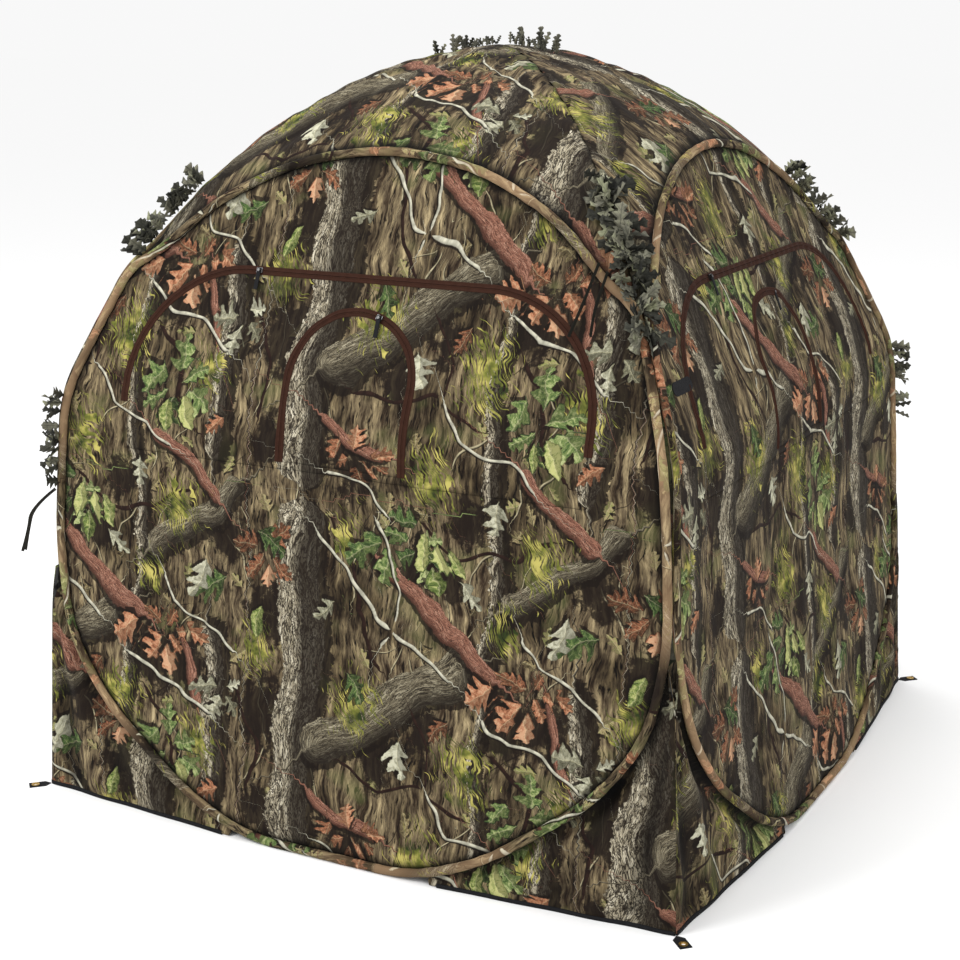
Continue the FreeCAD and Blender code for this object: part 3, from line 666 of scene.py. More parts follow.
def lay_leaves(nodes, colour, name):
    wide, lobes, depth = LEAF_STYLES[name]
    spot = nodes.attribute(name)
    _, _, shade = nodes.split(spot)
    shake = nodes.noise(nodes.attribute("print"), 42.0, 3.0, 0.6, "Color")
    shake = nodes.vector("SUBTRACT", shake, (0.5, 0.5, 0.5))
    spot = nodes.vector("ADD", spot, nodes.vector("MULTIPLY", shake, (0.22, 0.26, 0.0)))
    along, across, _ = nodes.split(spot)
    under = nodes.vector("ADD", spot, (0.06, 0.08, 0.0))
    shadow, _ = leaf_mask(nodes, under, wide, lobes, depth)
    colour = nodes.mix(nodes.calc("MULTIPLY", shadow, 0.85), colour, INK)
    away = nodes.calc("ABSOLUTE", across)
    ribs = nodes.calc("FRACT", nodes.calc("MULTIPLY_ADD", away, -5.0, nodes.calc("MULTIPLY", along, 7.0)))
    blotch = nodes.noise(nodes.vector("MULTIPLY", spot, (9.0, 9.0, 9.0)), 1.0, 5.0, 0.72)
    level = nodes.calc("ADD", nodes.calc("MULTIPLY_ADD", blotch, 2.0, -1.0), shade)
    leaf = nodes.ramp(level, [(at, tone(*rgb)) for at, rgb in LEAF_TONES[name]])
    vein = nodes.calc("MAXIMUM", nodes.step(away, 0.02, 0.008), nodes.step(ribs, 0.10, 0.03))
    leaf = nodes.mix(nodes.calc("MULTIPLY", vein, 0.25), leaf, tone(196, 188, 150))
    dull = nodes.calc("MULTIPLY", nodes.calc("GREATER_THAN", across, 0.0), 0.45)
    leaf = nodes.mix(dull, leaf, tone(34, 31, 22))
    mask, margin = leaf_mask(nodes, spot, wide, lobes, depth)
    leaf = nodes.mix(nodes.calc("MULTIPLY", nodes.step(margin, 0.05, 0.0), 0.5), leaf, INK)
    return nodes.mix(mask, colour, leaf)


# a printed leaf's width over its length, its lobes and how deep they are cut
LEAF_STYLES = {
    "litter": (1.0, 3.0, 0.30),
    "rust_leaf": (1.15, 3.6, 0.30),
    "oak_leaf": (1.05, 3.0, 0.34),
    "slim_leaf": (0.62, 1.0, 0.05),
    "pale_leaf": (1.0, 3.0, 0.36),
}
LEAF_TONES = {
    "litter": [(0.15, (52, 42, 30)), (0.45, (104, 92, 66)), (0.7, (142, 128, 94)), (0.95, (116, 118, 70))],
    "rust_leaf": [(0.2, (62, 40, 30)), (0.5, (112, 74, 54)), (0.7, (150, 100, 74)), (0.95, (176, 136, 106))],
    "oak_leaf": [(0.2, (32, 42, 26)), (0.5, (66, 84, 48)), (0.75, (104, 118, 70)), (0.95, (150, 156, 108))],
    "slim_leaf": [(0.3, (52, 64, 34)), (0.6, (98, 112, 60)), (0.95, (166, 166, 108))],
    "pale_leaf": [(0.2, (84, 82, 66)), (0.55, (130, 128, 108)), (0.9, (178, 176, 154))],
}


def weave_bump(nodes, cloth, puckers=0.25):
    """Plain weave over soft creases."""
    x, y, _ = nodes.split(cloth)
    warp = nodes.calc("SINE", nodes.calc("MULTIPLY", x, 4200.0))
    weft = nodes.calc("SINE", nodes.calc("MULTIPLY", y, 4200.0))
    weave = nodes.bump(nodes.calc("MULTIPLY", warp, weft), 0.12, 0.0004)
    crease = nodes.noise(cloth, 30.0, 3.0, 0.5)
    return nodes.bump(crease, puckers, 0.004, weave)


def camo_material():
    nodes = Nodes("camo_cloth_print")
    cloth = nodes.attribute("print")
    colour = ground_colour(nodes, cloth)
    colour = lay_leaves(nodes, colour, "litter")
    colour = lay_thin(nodes, colour, "bramble", 0.002, tone(30, 24, 20))
    colour = lay_thin(nodes, colour, "stalk", 0.001, tone(164, 154, 124), 0.002)
    colour = lay_gloom(nodes, colour, cloth)
    colour = lay_limb(nodes, colour, "trunk", 0.30, -0.25)
    colour = lay_limb(nodes, colour, "log", 0.4, -0.9)
    colour = lay_thin(nodes, colour, "dark_twig", 0.004, tone(44, 31, 26))
    colour = lay_limb(nodes, colour, "bough", -0.1, -1.0)
    colour = lay_tufts(nodes, colour, cloth)
    for name in ("rust_leaf", "oak_leaf", "slim_leaf", "pale_leaf"):
        colour = lay_leaves(nodes, colour, name)
    colour = lay_thin(nodes, colour, "pale_twig", 0.003, tone(188, 184, 164), 0.0035)
    # painted shade: where the attribute is above 0 the print is darkened, in creases, fold valleys and beside
    # hoops, zips and seams; below 0 it is faded paler and warmer
    painted_shade_and_fade = nodes.attribute("painted_shade_and_fade", "Fac")
    painted_shade_colour = nodes.mix(1.0, colour, (0.06, 0.055, 0.055), "MULTIPLY")
    colour = nodes.mix(nodes.step(painted_shade_and_fade, 0.0, 1.0), colour, painted_shade_colour)
    faded = nodes.mix(0.42, colour, tone(176, 144, 110))
    colour = nodes.mix(nodes.step(painted_shade_and_fade, 0.0, -1.0), colour, faded)
    normal = weave_bump(nodes, cloth)
    return nodes.finish(colour, 0.86, normal, Specular_IOR_Level=0.12)


def lining_material():
    """The black coating inside the cloth."""
    nodes = Nodes("black_coated_lining")
    place = nodes.add("ShaderNodeTexCoord").outputs["Object"]
    fold = nodes.noise(place, 14.0, 4.0)
    colour = nodes.mix(fold, tone(22, 22, 22), tone(38, 37, 36))
    return nodes.finish(colour, 0.55, nodes.bump(fold, 0.3, 0.004), Specular_IOR_Level=0.35)


def woven_material(name, dark, light, pitch):
    """Webbing, tape or ribbon: a coarse weave with a little wear."""
    nodes = Nodes(name)
    place = nodes.add("ShaderNodeTexCoord").outputs["Object"]
    x, y, z = nodes.split(place)
    run = nodes.calc("ADD", nodes.calc("ADD", x, y), z)
    rise = nodes.calc("SUBTRACT", nodes.calc("MULTIPLY", z, 1.7), nodes.calc("SUBTRACT", x, y))
    ribs = nodes.calc("SINE", nodes.calc("MULTIPLY", run, 6.283 / pitch))
    cross = nodes.calc("SINE", nodes.calc("MULTIPLY", rise, 6.283 / pitch))
    weave = nodes.calc("MULTIPLY_ADD", nodes.calc("MULTIPLY", ribs, cross), 0.25, 0.5)
    worn = nodes.noise(place, 90.0, 4.0)
    share = nodes.calc("MULTIPLY", nodes.calc("ADD", weave, worn), 0.5)
    colour = nodes.mix(share, dark, light)
    normal = nodes.bump(weave, 0.5, pitch * 0.3)
    return nodes.finish(colour, 0.85, normal, Specular_IOR_Level=0.12)


def metal_material(name, dark, light, rough, scale=400.0):
    nodes = Nodes(name)
    place = nodes.add("ShaderNodeTexCoord").outputs["Object"]
    wear = nodes.noise(place, scale, 4.0)
    colour = nodes.mix(wear, dark, light)
    gloss = nodes.calc("MULTIPLY_ADD", wear, 0.25, rough)
    return nodes.finish(colour, gloss, nodes.bump(wear, 0.1, 0.0003), Metallic=1.0)


def enamel_material():
    nodes = Nodes("zip_dark_enamel")
    place = nodes.add("ShaderNodeTexCoord").outputs["Object"]
    wear = nodes.noise(place, 350.0, 4.0)
    colour = nodes.mix(nodes.step(wear, 0.62, 0.72), tone(30, 26, 24), tone(96, 90, 84))
    return nodes.finish(colour, 0.36, nodes.bump(wear, 0.08, 0.0003), Coat_Weight=0.3)


def leaf_material():
    """Dark printed cloth, cut into leaves: mottled grey green with paler veins."""
    nodes = Nodes("leaf_cloth_print")
    spot = nodes.attribute("leaf_spot")
    along, across, shade = nodes.split(spot)
    place = nodes.add("ShaderNodeTexCoord").outputs["Object"]
    mottle = nodes.noise(place, 60.0, 4.0, 0.6)
    level = nodes.calc("MULTIPLY", nodes.calc("ADD", mottle, shade), 0.5)
    tones = ((0.22, (30, 30, 28)), (0.42, (66, 66, 58)), (0.56, (108, 106, 92)), (0.7, (138, 140, 112)))
    colour = nodes.ramp(level, [(at, tone(*rgb)) for at, rgb in tones])
    away = nodes.calc("ABSOLUTE", across)
    ribs = nodes.calc("FRACT", nodes.calc("MULTIPLY_ADD", away, -4.0, nodes.calc("MULTIPLY", along, 6.0)))
    vein = nodes.calc("MAXIMUM", nodes.step(away, 0.03, 0.01), nodes.step(ribs, 0.14, 0.04))
    colour = nodes.mix(nodes.calc("MULTIPLY", vein, 0.4), colour, tone(24, 24, 20))
    return nodes.finish(colour, 0.85, nodes.bump(mottle, 0.3, 0.001), Specular_IOR_Level=0.2)


CAMO = camo_material()
LINING = lining_material()
WEBBING = woven_material("black_webbing_weave", tone(14, 14, 15), tone(40, 40, 42), 0.0016)
TAPE = woven_material("zip_tape_weave", tone(30, 17, 12), tone(66, 42, 32), 0.0011)
RIBBON = woven_material("ribbon_weave", tone(16, 16, 14), tone(44, 43, 38), 0.0012)
ENAMEL = enamel_material()
STEEL = metal_material("spring_steel_drawn", tone(96, 96, 100), tone(150, 150, 155), 0.28)
FERRULE = metal_material("ferrule_crimped", tone(130, 130, 134), tone(178, 178, 182), 0.3)
BRASS = metal_material("brass_satin", tone(150, 118, 58), tone(206, 172, 98), 0.28)
LEAF_CLOTH = leaf_material()

# ---------------------------------------------------------------- the wall's shape


def bend(distance, width):
    """A ramp that starts at 0 and bends smoothly over a width each side of it."""
    if not width:
        return np.maximum(distance, 0.0)
    eased = (distance + width) ** 2 / (4.0 * width)
    return np.where(distance > width, distance, np.where(distance < -width, 0.0, eased))


def inset(height):
    """How far a wall's outer face stands inside the base square."""
    height = np.asarray(height, dtype=float)
    slopes = np.diff(STOP_INSETS) / np.diff(STOP_HEIGHTS)
    value = STOP_INSETS[0] + slopes[0] * height
    for k in (1, 2):
        value = value + (slopes[k] - slopes[k - 1]) * bend(height - STOP_HEIGHTS[k], BEND_WIDTHS[k])
    return value


def along_slope(height):
    """Distance up the wall's upper slope from the knee line, for a point of the wall."""
    return (inset(height) - KNEE_INSET) * math.sin(LEAN) + (height - KNEE) * math.cos(LEAN)


TABLE_HEIGHTS = np.linspace(-0.05, 1.60, 1651)
TABLE_ALONG = along_slope(TABLE_HEIGHTS)


def height_of(along):
    return np.interp(along, TABLE_ALONG, TABLE_HEIGHTS)


def wall_points(across, height, out=0.0):
    """Points off the front wall's outer face."""
    height = np.asarray(height, dtype=float)
    step = 0.002
    rise = (inset(height + step) - inset(height - step)) / (2 * step)
    scale = 1.0 / np.sqrt(1.0 + rise**2)
    y = inset(height) - HALF - out * scale
    z = height + out * rise * scale
    return np.column_stack([across + 0.0 * height, y, z])


def roof_profile(out):
    centre_out = -ROOF_RADIUS * math.sin(APEX_SLOPE)
    centre_up = APEX - ROOF_RADIUS * math.cos(APEX_SLOPE)
    return centre_up + np.sqrt(ROOF_RADIUS**2 - (out - centre_out) ** 2)


def roof_height(across, out):
    return ROOF_AXIS + np.sqrt((roof_profile(out) - ROOF_AXIS) ** 2 - across**2)


def brow(across):
    height = KNEE
    for _ in range(40):
        height = float(roof_height(across, HALF - inset(height)))
    return height


def turned(points, degrees):
    """Points turned about Z from the front wall to another wall."""
    angle = math.radians(degrees)
    cosine, sine = round(math.cos(angle), 9), round(math.sin(angle), 9)
    points = np.asarray(points, dtype=float)
    x = points[:, 0] * cosine - points[:, 1] * sine
    y = points[:, 0] * sine + points[:, 1] * cosine
    return np.column_stack([x, y, points[:, 2]])


def rounded_line(corners, closed=False, share=0.45, step=MESH_STEP):
    """Straight runs joined by tangent arcs, as points about a step apart."""
    corners = [np.array(c, dtype=float) for c in corners]
    count = len(corners)
    line = []
    for i in range(count):
        here = corners[i]
        if not closed and i in (0, count - 1):
            line.append(here[None, :])
            continue
        before, after = corners[i - 1], corners[(i + 1) % count]
        come, go = here - before, after - here
        trim = share * min(np.linalg.norm(come), np.linalg.norm(go))
        start = here - come / np.linalg.norm(come) * trim
        end = here + go / np.linalg.norm(go) * trim
        steps = max(2, int(2 * trim / step))
        t = np.linspace(0, 1, steps + 1)[:, None]
        line.append((1 - t) ** 2 * start + 2 * t * (1 - t) * here + t**2 * end)
    points = np.vstack(line)
    if closed:
        points = np.vstack([points, points[:1]])
    return even_line(points, step)


def even_line(points, step):
    """The same line with its points an even distance apart."""
    runs = np.linalg.norm(np.diff(points, axis=0), axis=1)
    place = np.concatenate([[0.0], np.cumsum(runs)])
    count = max(2, int(round(place[-1] / step)) + 1)
    even = np.linspace(0.0, place[-1], count)
    return np.column_stack([np.interp(even, place, points[:, k]) for k in range(points.shape[1])])


def hoop_side(height):
    return HALF - float(inset(height)) - SEAM_GAP


def hoop_corners():
    """One hoop's corners as (across, height), from its foot up the right, down the left."""
    right = [(0.200, HOOP_RISE), (0.360, 0.072), (0.585, 0.236), (0.692, 0.378)]
    right += [(hoop_side(height), height) for height in (0.560, 0.720, 0.900, 1.040, BROW_START)]
    right += [(across, brow(across)) for across in (0.525, 0.400, 0.215)]
    left = [(-across, height) for across, height in reversed(right)]
    return right + [(0.0, brow(0.0))] + left


HOOP = rounded_line(hoop_corners(), closed=True)

# ---------------------------------------------------------------- flat shapes and distances


def arch_distance(across, along, shape):
    """Distance outside (or, negative, inside) an opening's arched outline, and place along it."""
    half, radius, top = shape[:3]
    right = np.abs(across) - (half - radius)
    up = along - (top - radius)
    angle = np.arctan2(np.maximum(up, 0.0), np.maximum(right, 1e-9))
    corner = np.hypot(right, up) - radius
    side = np.abs(across) - half
    cap = along - top
    inner = np.where(side > cap, side, cap)
    distance = np.where((right > 0) & (up > 0), corner, inner)
    on_side = (up <= 0) & (side >= cap)
    place = np.where(on_side, up, np.where(right > 0, angle * radius, math.pi / 2 * radius - right))
    return distance, place


def arch_line(shape, offset, low, step=MESH_STEP):
    """The arched outline grown by an offset, up one side, over and down to a height."""
    half, radius, top = shape[0] + offset, shape[1] + offset, shape[2] + offset
    flat, spring = half - radius, top - radius
    bottom = float(along_slope(low))
    turn = np.linspace(0.0, math.pi / 2, max(8, int(radius * 1.6 / step)))
    right = np.column_stack([flat + radius * np.cos(turn), spring + radius * np.sin(turn)])
    left = right[::-1] * np.array([-1.0, 1.0])
    line = np.vstack([[half, bottom], right, left, [-half, bottom]])
    line = even_line(line, step)
    return np.column_stack([line[:, 0], height_of(line[:, 1])])


def ring_with_sill(shape, offset, low):
    """The arched outline closed along a level line."""
    arch = arch_line(shape, offset, low)
    sill = even_line(np.array([arch[-1], arch[0]]), MESH_STEP)
    return np.vstack([arch, sill[1:]])


def in_polygon(points, ring):
    """Whether each point is inside a closed line."""
    x, y = points[:, 0], points[:, 1]
    order = np.argsort(y)
    sorted_y = y[order]
    inside = np.zeros(len(points), dtype=bool)
    for (x0, y0), (x1, y1) in zip(ring, ring[1:]):
        if y0 == y1:
            continue
        first, last = np.searchsorted(sorted_y, (min(y0, y1), max(y0, y1)))
        level = order[first:last]
        inside[level] ^= x[level] < (x1 - x0) * (y[level] - y0) / (y1 - y0) + x0
    return inside


def planar_tree(points):
    tree = kdtree.KDTree(len(points))
    for i, point in enumerate(points):
        tree.insert((point[0], point[1], 0.0), i)
    tree.balance()
    return tree


def line_distance(points, line):
    """Distance from each point to an evenly divided line, and the place along the line."""
    tree = planar_tree(line)
    nearest = np.array([tree.find((x, y, 0.0))[1] for x, y in points])
    step = np.linalg.norm(line[1] - line[0])
    last = len(line) - 1
    best = np.full(len(points), 9.0)
    place = np.zeros(len(points))
    for first in (np.clip(nearest - 1, 0, last - 1), np.clip(nearest, 0, last - 1)):
        start = line[first]
        run = line[first + 1] - start
        length = np.linalg.norm(run, axis=1)
        along = np.clip(((points - start) * run).sum(axis=1) / length**2, 0.0, 1.0)
        distance = np.linalg.norm(points - start - along[:, None] * run, axis=1)
        closer = distance < best
        best = np.where(closer, distance, best)
        place = np.where(closer, (first + along) * step, place)
    return best, place


def cut_cloth(rings, inside, step=MESH_STEP):
    """Triangles over a flat region: its rings' points and an even grid between them."""
    rim = np.vstack([ring[:-1] for ring in rings])
    edges = []
    start = 0
    for ring in rings:
        count = len(ring) - 1
        edges += [(start + i, start + (i + 1) % count) for i in range(count)]
        start += count
    low, high = rim.min(axis=0), rim.max(axis=0)
    rows = np.arange(low[1], high[1], step * math.sqrt(3) / 2)
    columns = np.arange(low[0], high[0], step)
    grid = [
        np.column_stack([columns + (step / 2 if k % 2 else 0.0), np.full(len(columns), row)])
        for k, row in enumerate(rows)
    ]
    grid = np.vstack(grid)
    grid = grid[inside(grid)]
    tree = planar_tree(rim)
    clear = [tree.find((x, y, 0.0))[2] > step * 0.6 for x, y in grid]
    points = np.vstack([rim, grid[np.array(clear, dtype=bool)]])
    cut = geometry.delaunay_2d_cdt([Vector(p) for p in points], edges, [], 0, 1e-7)
    places = np.array([tuple(v) for v in cut[0]])
    faces = np.array([tuple(f) for f in cut[2] if len(f) == 3])
    middles = places[faces].mean(axis=1)
    return places, faces[inside(middles)]


# ---------------------------------------------------------------- meshes


def waves(x, y, seed, length, count=5):
    """A smooth random field of about -1 to 1, its hills about a length apart."""
    source = np.random.default_rng(seed)
    total = np.zeros(np.shape(x))
    for _ in range(count):
        angle = source.uniform(0, math.tau)
        pitch = math.tau / (length * source.uniform(0.7, 1.5))
        phase = source.uniform(0, math.tau)
        total = total + np.sin((x * math.cos(angle) + y * math.sin(angle)) * pitch + phase)
    return total / math.sqrt(count)


def mesh_piece(name, points, faces, materials, smooth=True):
    mesh = bpy.data.meshes.new(name)
    mesh.from_pydata([tuple(p) for p in points], [], [tuple(int(i) for i in f) for f in faces])
    mesh.update()
    mesh.polygons.foreach_set("use_smooth", [smooth] * len(mesh.polygons))
    piece = bpy.data.objects.new(name, mesh)
    for material in materials:
        mesh.materials.append(material)
    bpy.context.scene.collection.objects.link(piece)
    return piece


def thicken(piece, thickness, lined=True):
    """Gives cloth its thickness inwards, with the black lining behind it."""
    modifier = piece.modifiers.new("cloth", "SOLIDIFY")
    modifier.thickness = thickness
    modifier.offset = -1.0
    modifier.material_offset = 1 if lined else 0
    modifier.material_offset_rim = 0


def triangle_area(points, faces):
    a, b, c = (points[faces[:, k]] for k in range(3))
    return float(np.linalg.norm(np.cross(b - a, c - a), axis=1).sum() / 2)


def declare_sheet(points, faces, size):
    """Scales a panel's given sheet size up to its area when the area is larger; the result is not kept."""
    area = triangle_area(points, faces)
    width, length = size
    share = area / (width * length)
    if share > 1.0:
        width, length = width * math.sqrt(share * 1.001), length * math.sqrt(share * 1.001)


def finish_piece(piece, body, slot, *nodes):
    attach(piece, body)
    if nodes:
        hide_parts(*nodes)


# ---------------------------------------------------------------- relief of the walls


def wall_relief(across, height, wall, shape):
    """How far a wall's cloth stands off its smooth face: sag, creases and puckered seams."""
    seed = WALLS[wall] + 11
    points = np.column_stack([across, height])
    rim, place = line_distance(points, HOOP)
    arch, arch_place = arch_distance(across, along_slope(height), shape)
    below = height < shape[4]
    arch = np.where(below, np.maximum(np.abs(arch), shape[4] - height), np.abs(arch))
    calm = np.clip(arch / 0.06, 0.0, 1.0)
    edge = np.clip(rim / 0.10, 0.0, 1.0)
    sag = 0.0038 * waves(across, height * 0.6, seed, 0.30) * calm * edge
    crease = 0.0016 * waves(across * 1.6, height * 0.5, seed + 1, 0.085) * calm * edge
    pull = np.sin(place * 150.0 + 2.0 * waves(place, 0 * place, seed + 2, 0.2, 2))
    puckers = 0.0022 * pull * np.exp(-rim / 0.030)
    dip = -0.0050 * np.exp(-((rim / 0.014) ** 2))
    stitch = 0.0009 * np.sin(arch_place * 190.0) * np.exp(-arch / 0.016)
    return sag + crease + puckers + dip + stitch


def printed_wall(name, wall, places, faces, shape, body, nodes, size, rests_on, thickness=CLOTH):
    """One panel of a wall: cloth stood on the wall's face, printed and lined."""
    across, height = places[:, 0], places[:, 1]
    relief = wall_relief(across, height, wall, shape)
    points = turned(wall_points(across, height, relief), WALLS[wall])
    piece = mesh_piece(name, points, faces, [CAMO, LINING])
    shift = PRINT_STARTS[wall]
    rim, _ = line_distance(places, HOOP)
    arch, _ = arch_distance(across, along_slope(height), shape)
    arch = np.where(height < shape[4], 1.0, np.abs(arch))
    # painted shade along both sides of the hoop's sleeve and beside the zip's arch
    painted_shade_and_fade = 1.1 * np.exp(-((rim / HOOP_SHADE_SPREAD) ** 2)) + 0.7 * np.exp(-((arch / ARCH_SHADE_SPREAD) ** 2))
    print_cloth(piece.data, np.column_stack([across + shift[0], height + shift[1]]), painted_shade_and_fade)
    thicken(piece, thickness)
    finish_piece(piece, body, "camo_cloth", *nodes)
    declare_sheet(points, faces, size)
    return piece


PRINT_STARTS = {"front": (0.22, 0.02), "right": (0.55, 0.31), "back": (0.05, 0.52), "left": (0.70, 0.16)}


def hole_test(shape, offset):
    """Whether points are in an opening, from its sill to its arch."""
    def test(points):
        distance, _ = arch_distance(points[:, 0], along_slope(points[:, 1]), shape)
        return (distance < offset) & (points[:, 1] > shape[3])
    return test


def wall_cut(shape):
    ring = ring_with_sill(shape, HALF_GAP, shape[3])
    hole = hole_test(shape, HALF_GAP)
    return cut_cloth([HOOP, ring], lambda p: in_polygon(p, HOOP) & ~hole(p))


def flap_cut(shape, inner=None):
    sill = shape[3] + 2 * HALF_GAP
    lowered = (*shape[:3], sill, shape[4])
    rings = [ring_with_sill(lowered, -HALF_GAP, sill)]
    outer = hole_test(lowered, -HALF_GAP)
    if inner is None:
        return cut_cloth(rings, outer)
    rings.append(ring_with_sill(inner, HALF_GAP, inner[3]))
    hole = hole_test(inner, HALF_GAP)
    return cut_cloth(rings, lambda p: outer(p) & ~hole(p))


def make_walls():
    windowed = wall_cut(WINDOW)
    doored = wall_cut(DOOR)
    big_flap = flap_cut(WINDOW, SLOT)
    small_flap = flap_cut(SLOT)
    size = (1.48, 1.46)
    for wall in WALLS:
        shape = WINDOW if wall in WINDOW_WALLS else DOOR
        places, faces = windowed if wall in WINDOW_WALLS else doored
        name = f"cloth_wall_{wall}"
        held = [f"hoop_{wall}"]
        printed_wall(name, wall, places, faces, shape, "frame", [f"wall_{wall}"], size, held)
    for wall in WINDOW_WALLS:
        body = f"window_flap_{wall}"
        held = [f"cloth_wall_{wall}"]
        size = (1.09, 0.41)
        printed_wall(f"cloth_{body}", wall, *big_flap, WINDOW, body, [body], size, held)
        body = f"slot_flap_{wall}"
        held = [f"cloth_window_flap_{wall}"]
        printed_wall(f"cloth_{body}", wall, *small_flap, WINDOW, body, [body], (0.29, 0.325), held)
    held = ["cloth_wall_back"]
    cut = flap_cut(DOOR)
    printed_wall("cloth_door_flap", "back", *cut, DOOR, "door_flap", ["door_flap"], (0.68, 1.24), held)


# ---------------------------------------------------------------- zips


def ribbon_faces(rows, columns, closed=False):
    """Quads of a strip with so many rows of points, each row so many columns wide."""
    faces = []
    for i in range(rows if closed else rows - 1):
        j = (i + 1) % rows
        for k in range(columns - 1):
            faces.append((i * columns + k, i * columns + k + 1, j * columns + k + 1, j * columns + k))
    return faces


ZIP_STEP = 0.0045
# a zip half's section: offset from the teeth's line, and how far it stands out
TAPE_SECTION = [(0.0, -0.0006), (0.0, 0.0019), (0.0012, 0.0022), (0.0020, 0.0013), (0.0026, 0.0009),
                (0.0060, 0.0010), (0.0066, 0.0013), (0.0072, 0.0010), (0.0085, 0.0008), (0.0088, -0.0004)]


def make_zip_half(name, wall, shape, side, body, nodes):
    """One half of a zip: tape, a line of stitches and the coil's rounded ridge."""
    columns = []
    for offset, out in TAPE_SECTION:
        line = arch_line(shape, side * (offset + HALF_GAP), shape[4], ZIP_STEP)
        columns.append((line, out))
    count = min(len(line) for line, _ in columns)
    grid = []
    for line, out in columns:
        place = np.linspace(0, len(line) - 1, count)
        index = np.arange(len(line))
        across = np.interp(place, index, line[:, 0])
        height = np.interp(place, index, line[:, 1])
        relief = wall_relief(across, height, wall, WINDOW if wall in WINDOW_WALLS else DOOR)
        teeth = 0.0003 * (np.arange(count) % 2) if out > 0.0015 else 0.0
        grid.append(wall_points(across, height, relief + out + teeth))
    points = np.stack(grid, axis=1).reshape(-1, 3)
    faces = ribbon_faces(count, len(columns))
    if side < 0:
        faces = [face[::-1] for face in faces]
    piece = mesh_piece(name, turned(points, WALLS[wall]), faces, [TAPE])
    finish_piece(piece, body, "zip_tape", *nodes)
    return piece


def make_zips():
    for wall in WINDOW_WALLS:
        flap = f"window_flap_{wall}"
        make_zip_half(f"zip_window_outer_{wall}", wall, WINDOW, 1, "frame", [f"window_zip_{wall}"])
        make_zip_half(f"zip_window_inner_{wall}", wall, WINDOW, -1, flap, [])
        make_zip_half(f"zip_slot_outer_{wall}", wall, SLOT, 1, flap, [f"slot_zip_{wall}"])
        make_zip_half(f"zip_slot_inner_{wall}", wall, SLOT, -1, f"slot_flap_{wall}", [])
    make_zip_half("zip_door_outer", "back", DOOR, 1, "frame", ["door_zip"])
    make_zip_half("zip_door_inner", "back", DOOR, -1, "door_flap", [])


# ---------------------------------------------------------------- hoops in their sleeves


def tube_points(path, sides, radii, closed, facing):
    """Rings of points round a path; facing gives, at each point, a direction off the cloth."""
    count = len(path)
    if closed:
        heading = np.roll(path, -1, axis=0) - np.roll(path, 1, axis=0)
    else:
        heading = np.gradient(path, axis=0)
    heading = heading / np.linalg.norm(heading, axis=1)[:, None]
    out = facing - (facing * heading).sum(axis=1)[:, None] * heading
    out = out / np.linalg.norm(out, axis=1)[:, None]
    side = np.cross(heading, out)
    turn = np.linspace(0, math.tau, sides, endpoint=False)
    wide, tall = radii
    ring = np.cos(turn)[None, :, None] * side[:, None, :] * wide[:, None, None]
    ring = ring + np.sin(turn)[None, :, None] * out[:, None, :] * tall[:, None, None]
    return (path[:, None, :] + ring).reshape(count * sides, 3)


def tube_faces(count, sides, closed):
    faces = []
    for i in range(count if closed else count - 1):
        j = (i + 1) % count
        for k in range(sides):
            m = (k + 1) % sides
            faces.append((i * sides + k, i * sides + m, j * sides + m, j * sides + k))
    return faces


def make_sleeves():
    line = HOOP[:-1]
    count, sides = len(line), 12
    path = wall_points(line[:, 0], line[:, 1])
    above = wall_points(line[:, 0], line[:, 1], 0.01)
    place = np.arange(count) * MESH_STEP
    for wall, turn in WALLS.items():
        seed = turn + 5
        swell = 1.0 + 0.07 * waves(place, 0 * place, seed, 0.05, 4)
        wide = SLEEVE_RADIUS * 1.06 * swell
        tall = SLEEVE_RADIUS * 0.94 * (2.0 - swell)
        points = tube_points(path, sides, (wide, tall), True, above - path)
        piece = mesh_piece(f"sleeve_{wall}", turned(points, turn), tube_faces(count, sides, True), [CAMO])
        round_it = np.tile(np.arange(sides) * 0.005, count)
        along = np.repeat(place, sides)
        shift = PRINT_STARTS[wall]
        fade = -np.clip(0.35 + 0.55 * waves(along, 0 * along, seed + 3, 0.30, 3), 0.0, 0.9)
        print_cloth(piece.data, np.column_stack([round_it + shift[1] + 0.3, along + shift[0]]), fade)
        finish_piece(piece, "frame", "camo_cloth", f"hoop_sleeve_{wall}")


def make_corner_seams():
    """A strip of cloth that joins two neighbouring hoops up each corner."""
    height = np.arange(SEAM_STRIP_START, BROW_START, MESH_STEP)
    face = HALF - inset(height)
    side = face - SEAM_GAP
    front = np.column_stack([side, -face, height])
    right = np.column_stack([face, -side, height])
    points = np.stack([front, right], axis=1).reshape(-1, 3)
    for corner, turn in CORNERS.items():
        faces = ribbon_faces(len(height), 2)
        piece = mesh_piece(f"seam_{corner}", turned(points, turn), faces, [CAMO, LINING])
        # painted shade over the whole strip, sunk between the two hoops
        print_cloth(piece.data, points[:, (0, 2)], np.full(len(points), 0.8))
        thicken(piece, CLOTH)
        finish_piece(piece, "frame", "camo_cloth")


# ---------------------------------------------------------------- roof


def roof_cut():
    """The front gore in plan, as (across, out from the apex), up to the brow."""
    ring = sorted(p for p in hoop_corners() if p[1] >= BROW_START)
    brow_line = rounded_line([(u, HALF - float(inset(z))) for u, z in ring])
    limit = min(-brow_line[0][0], brow_line[0][1])
    left = even_line(np.array([(0.0, 0.0), (-limit, limit), tuple(brow_line[0])]), MESH_STEP)
    right = even_line(np.array([tuple(brow_line[-1]), (limit, limit), (0.0, 0.0)]), MESH_STEP)
    outline = np.vstack([left[:-1], brow_line[:-1], right])
    return (*cut_cloth([outline], lambda p: in_polygon(p, outline)), brow_line)


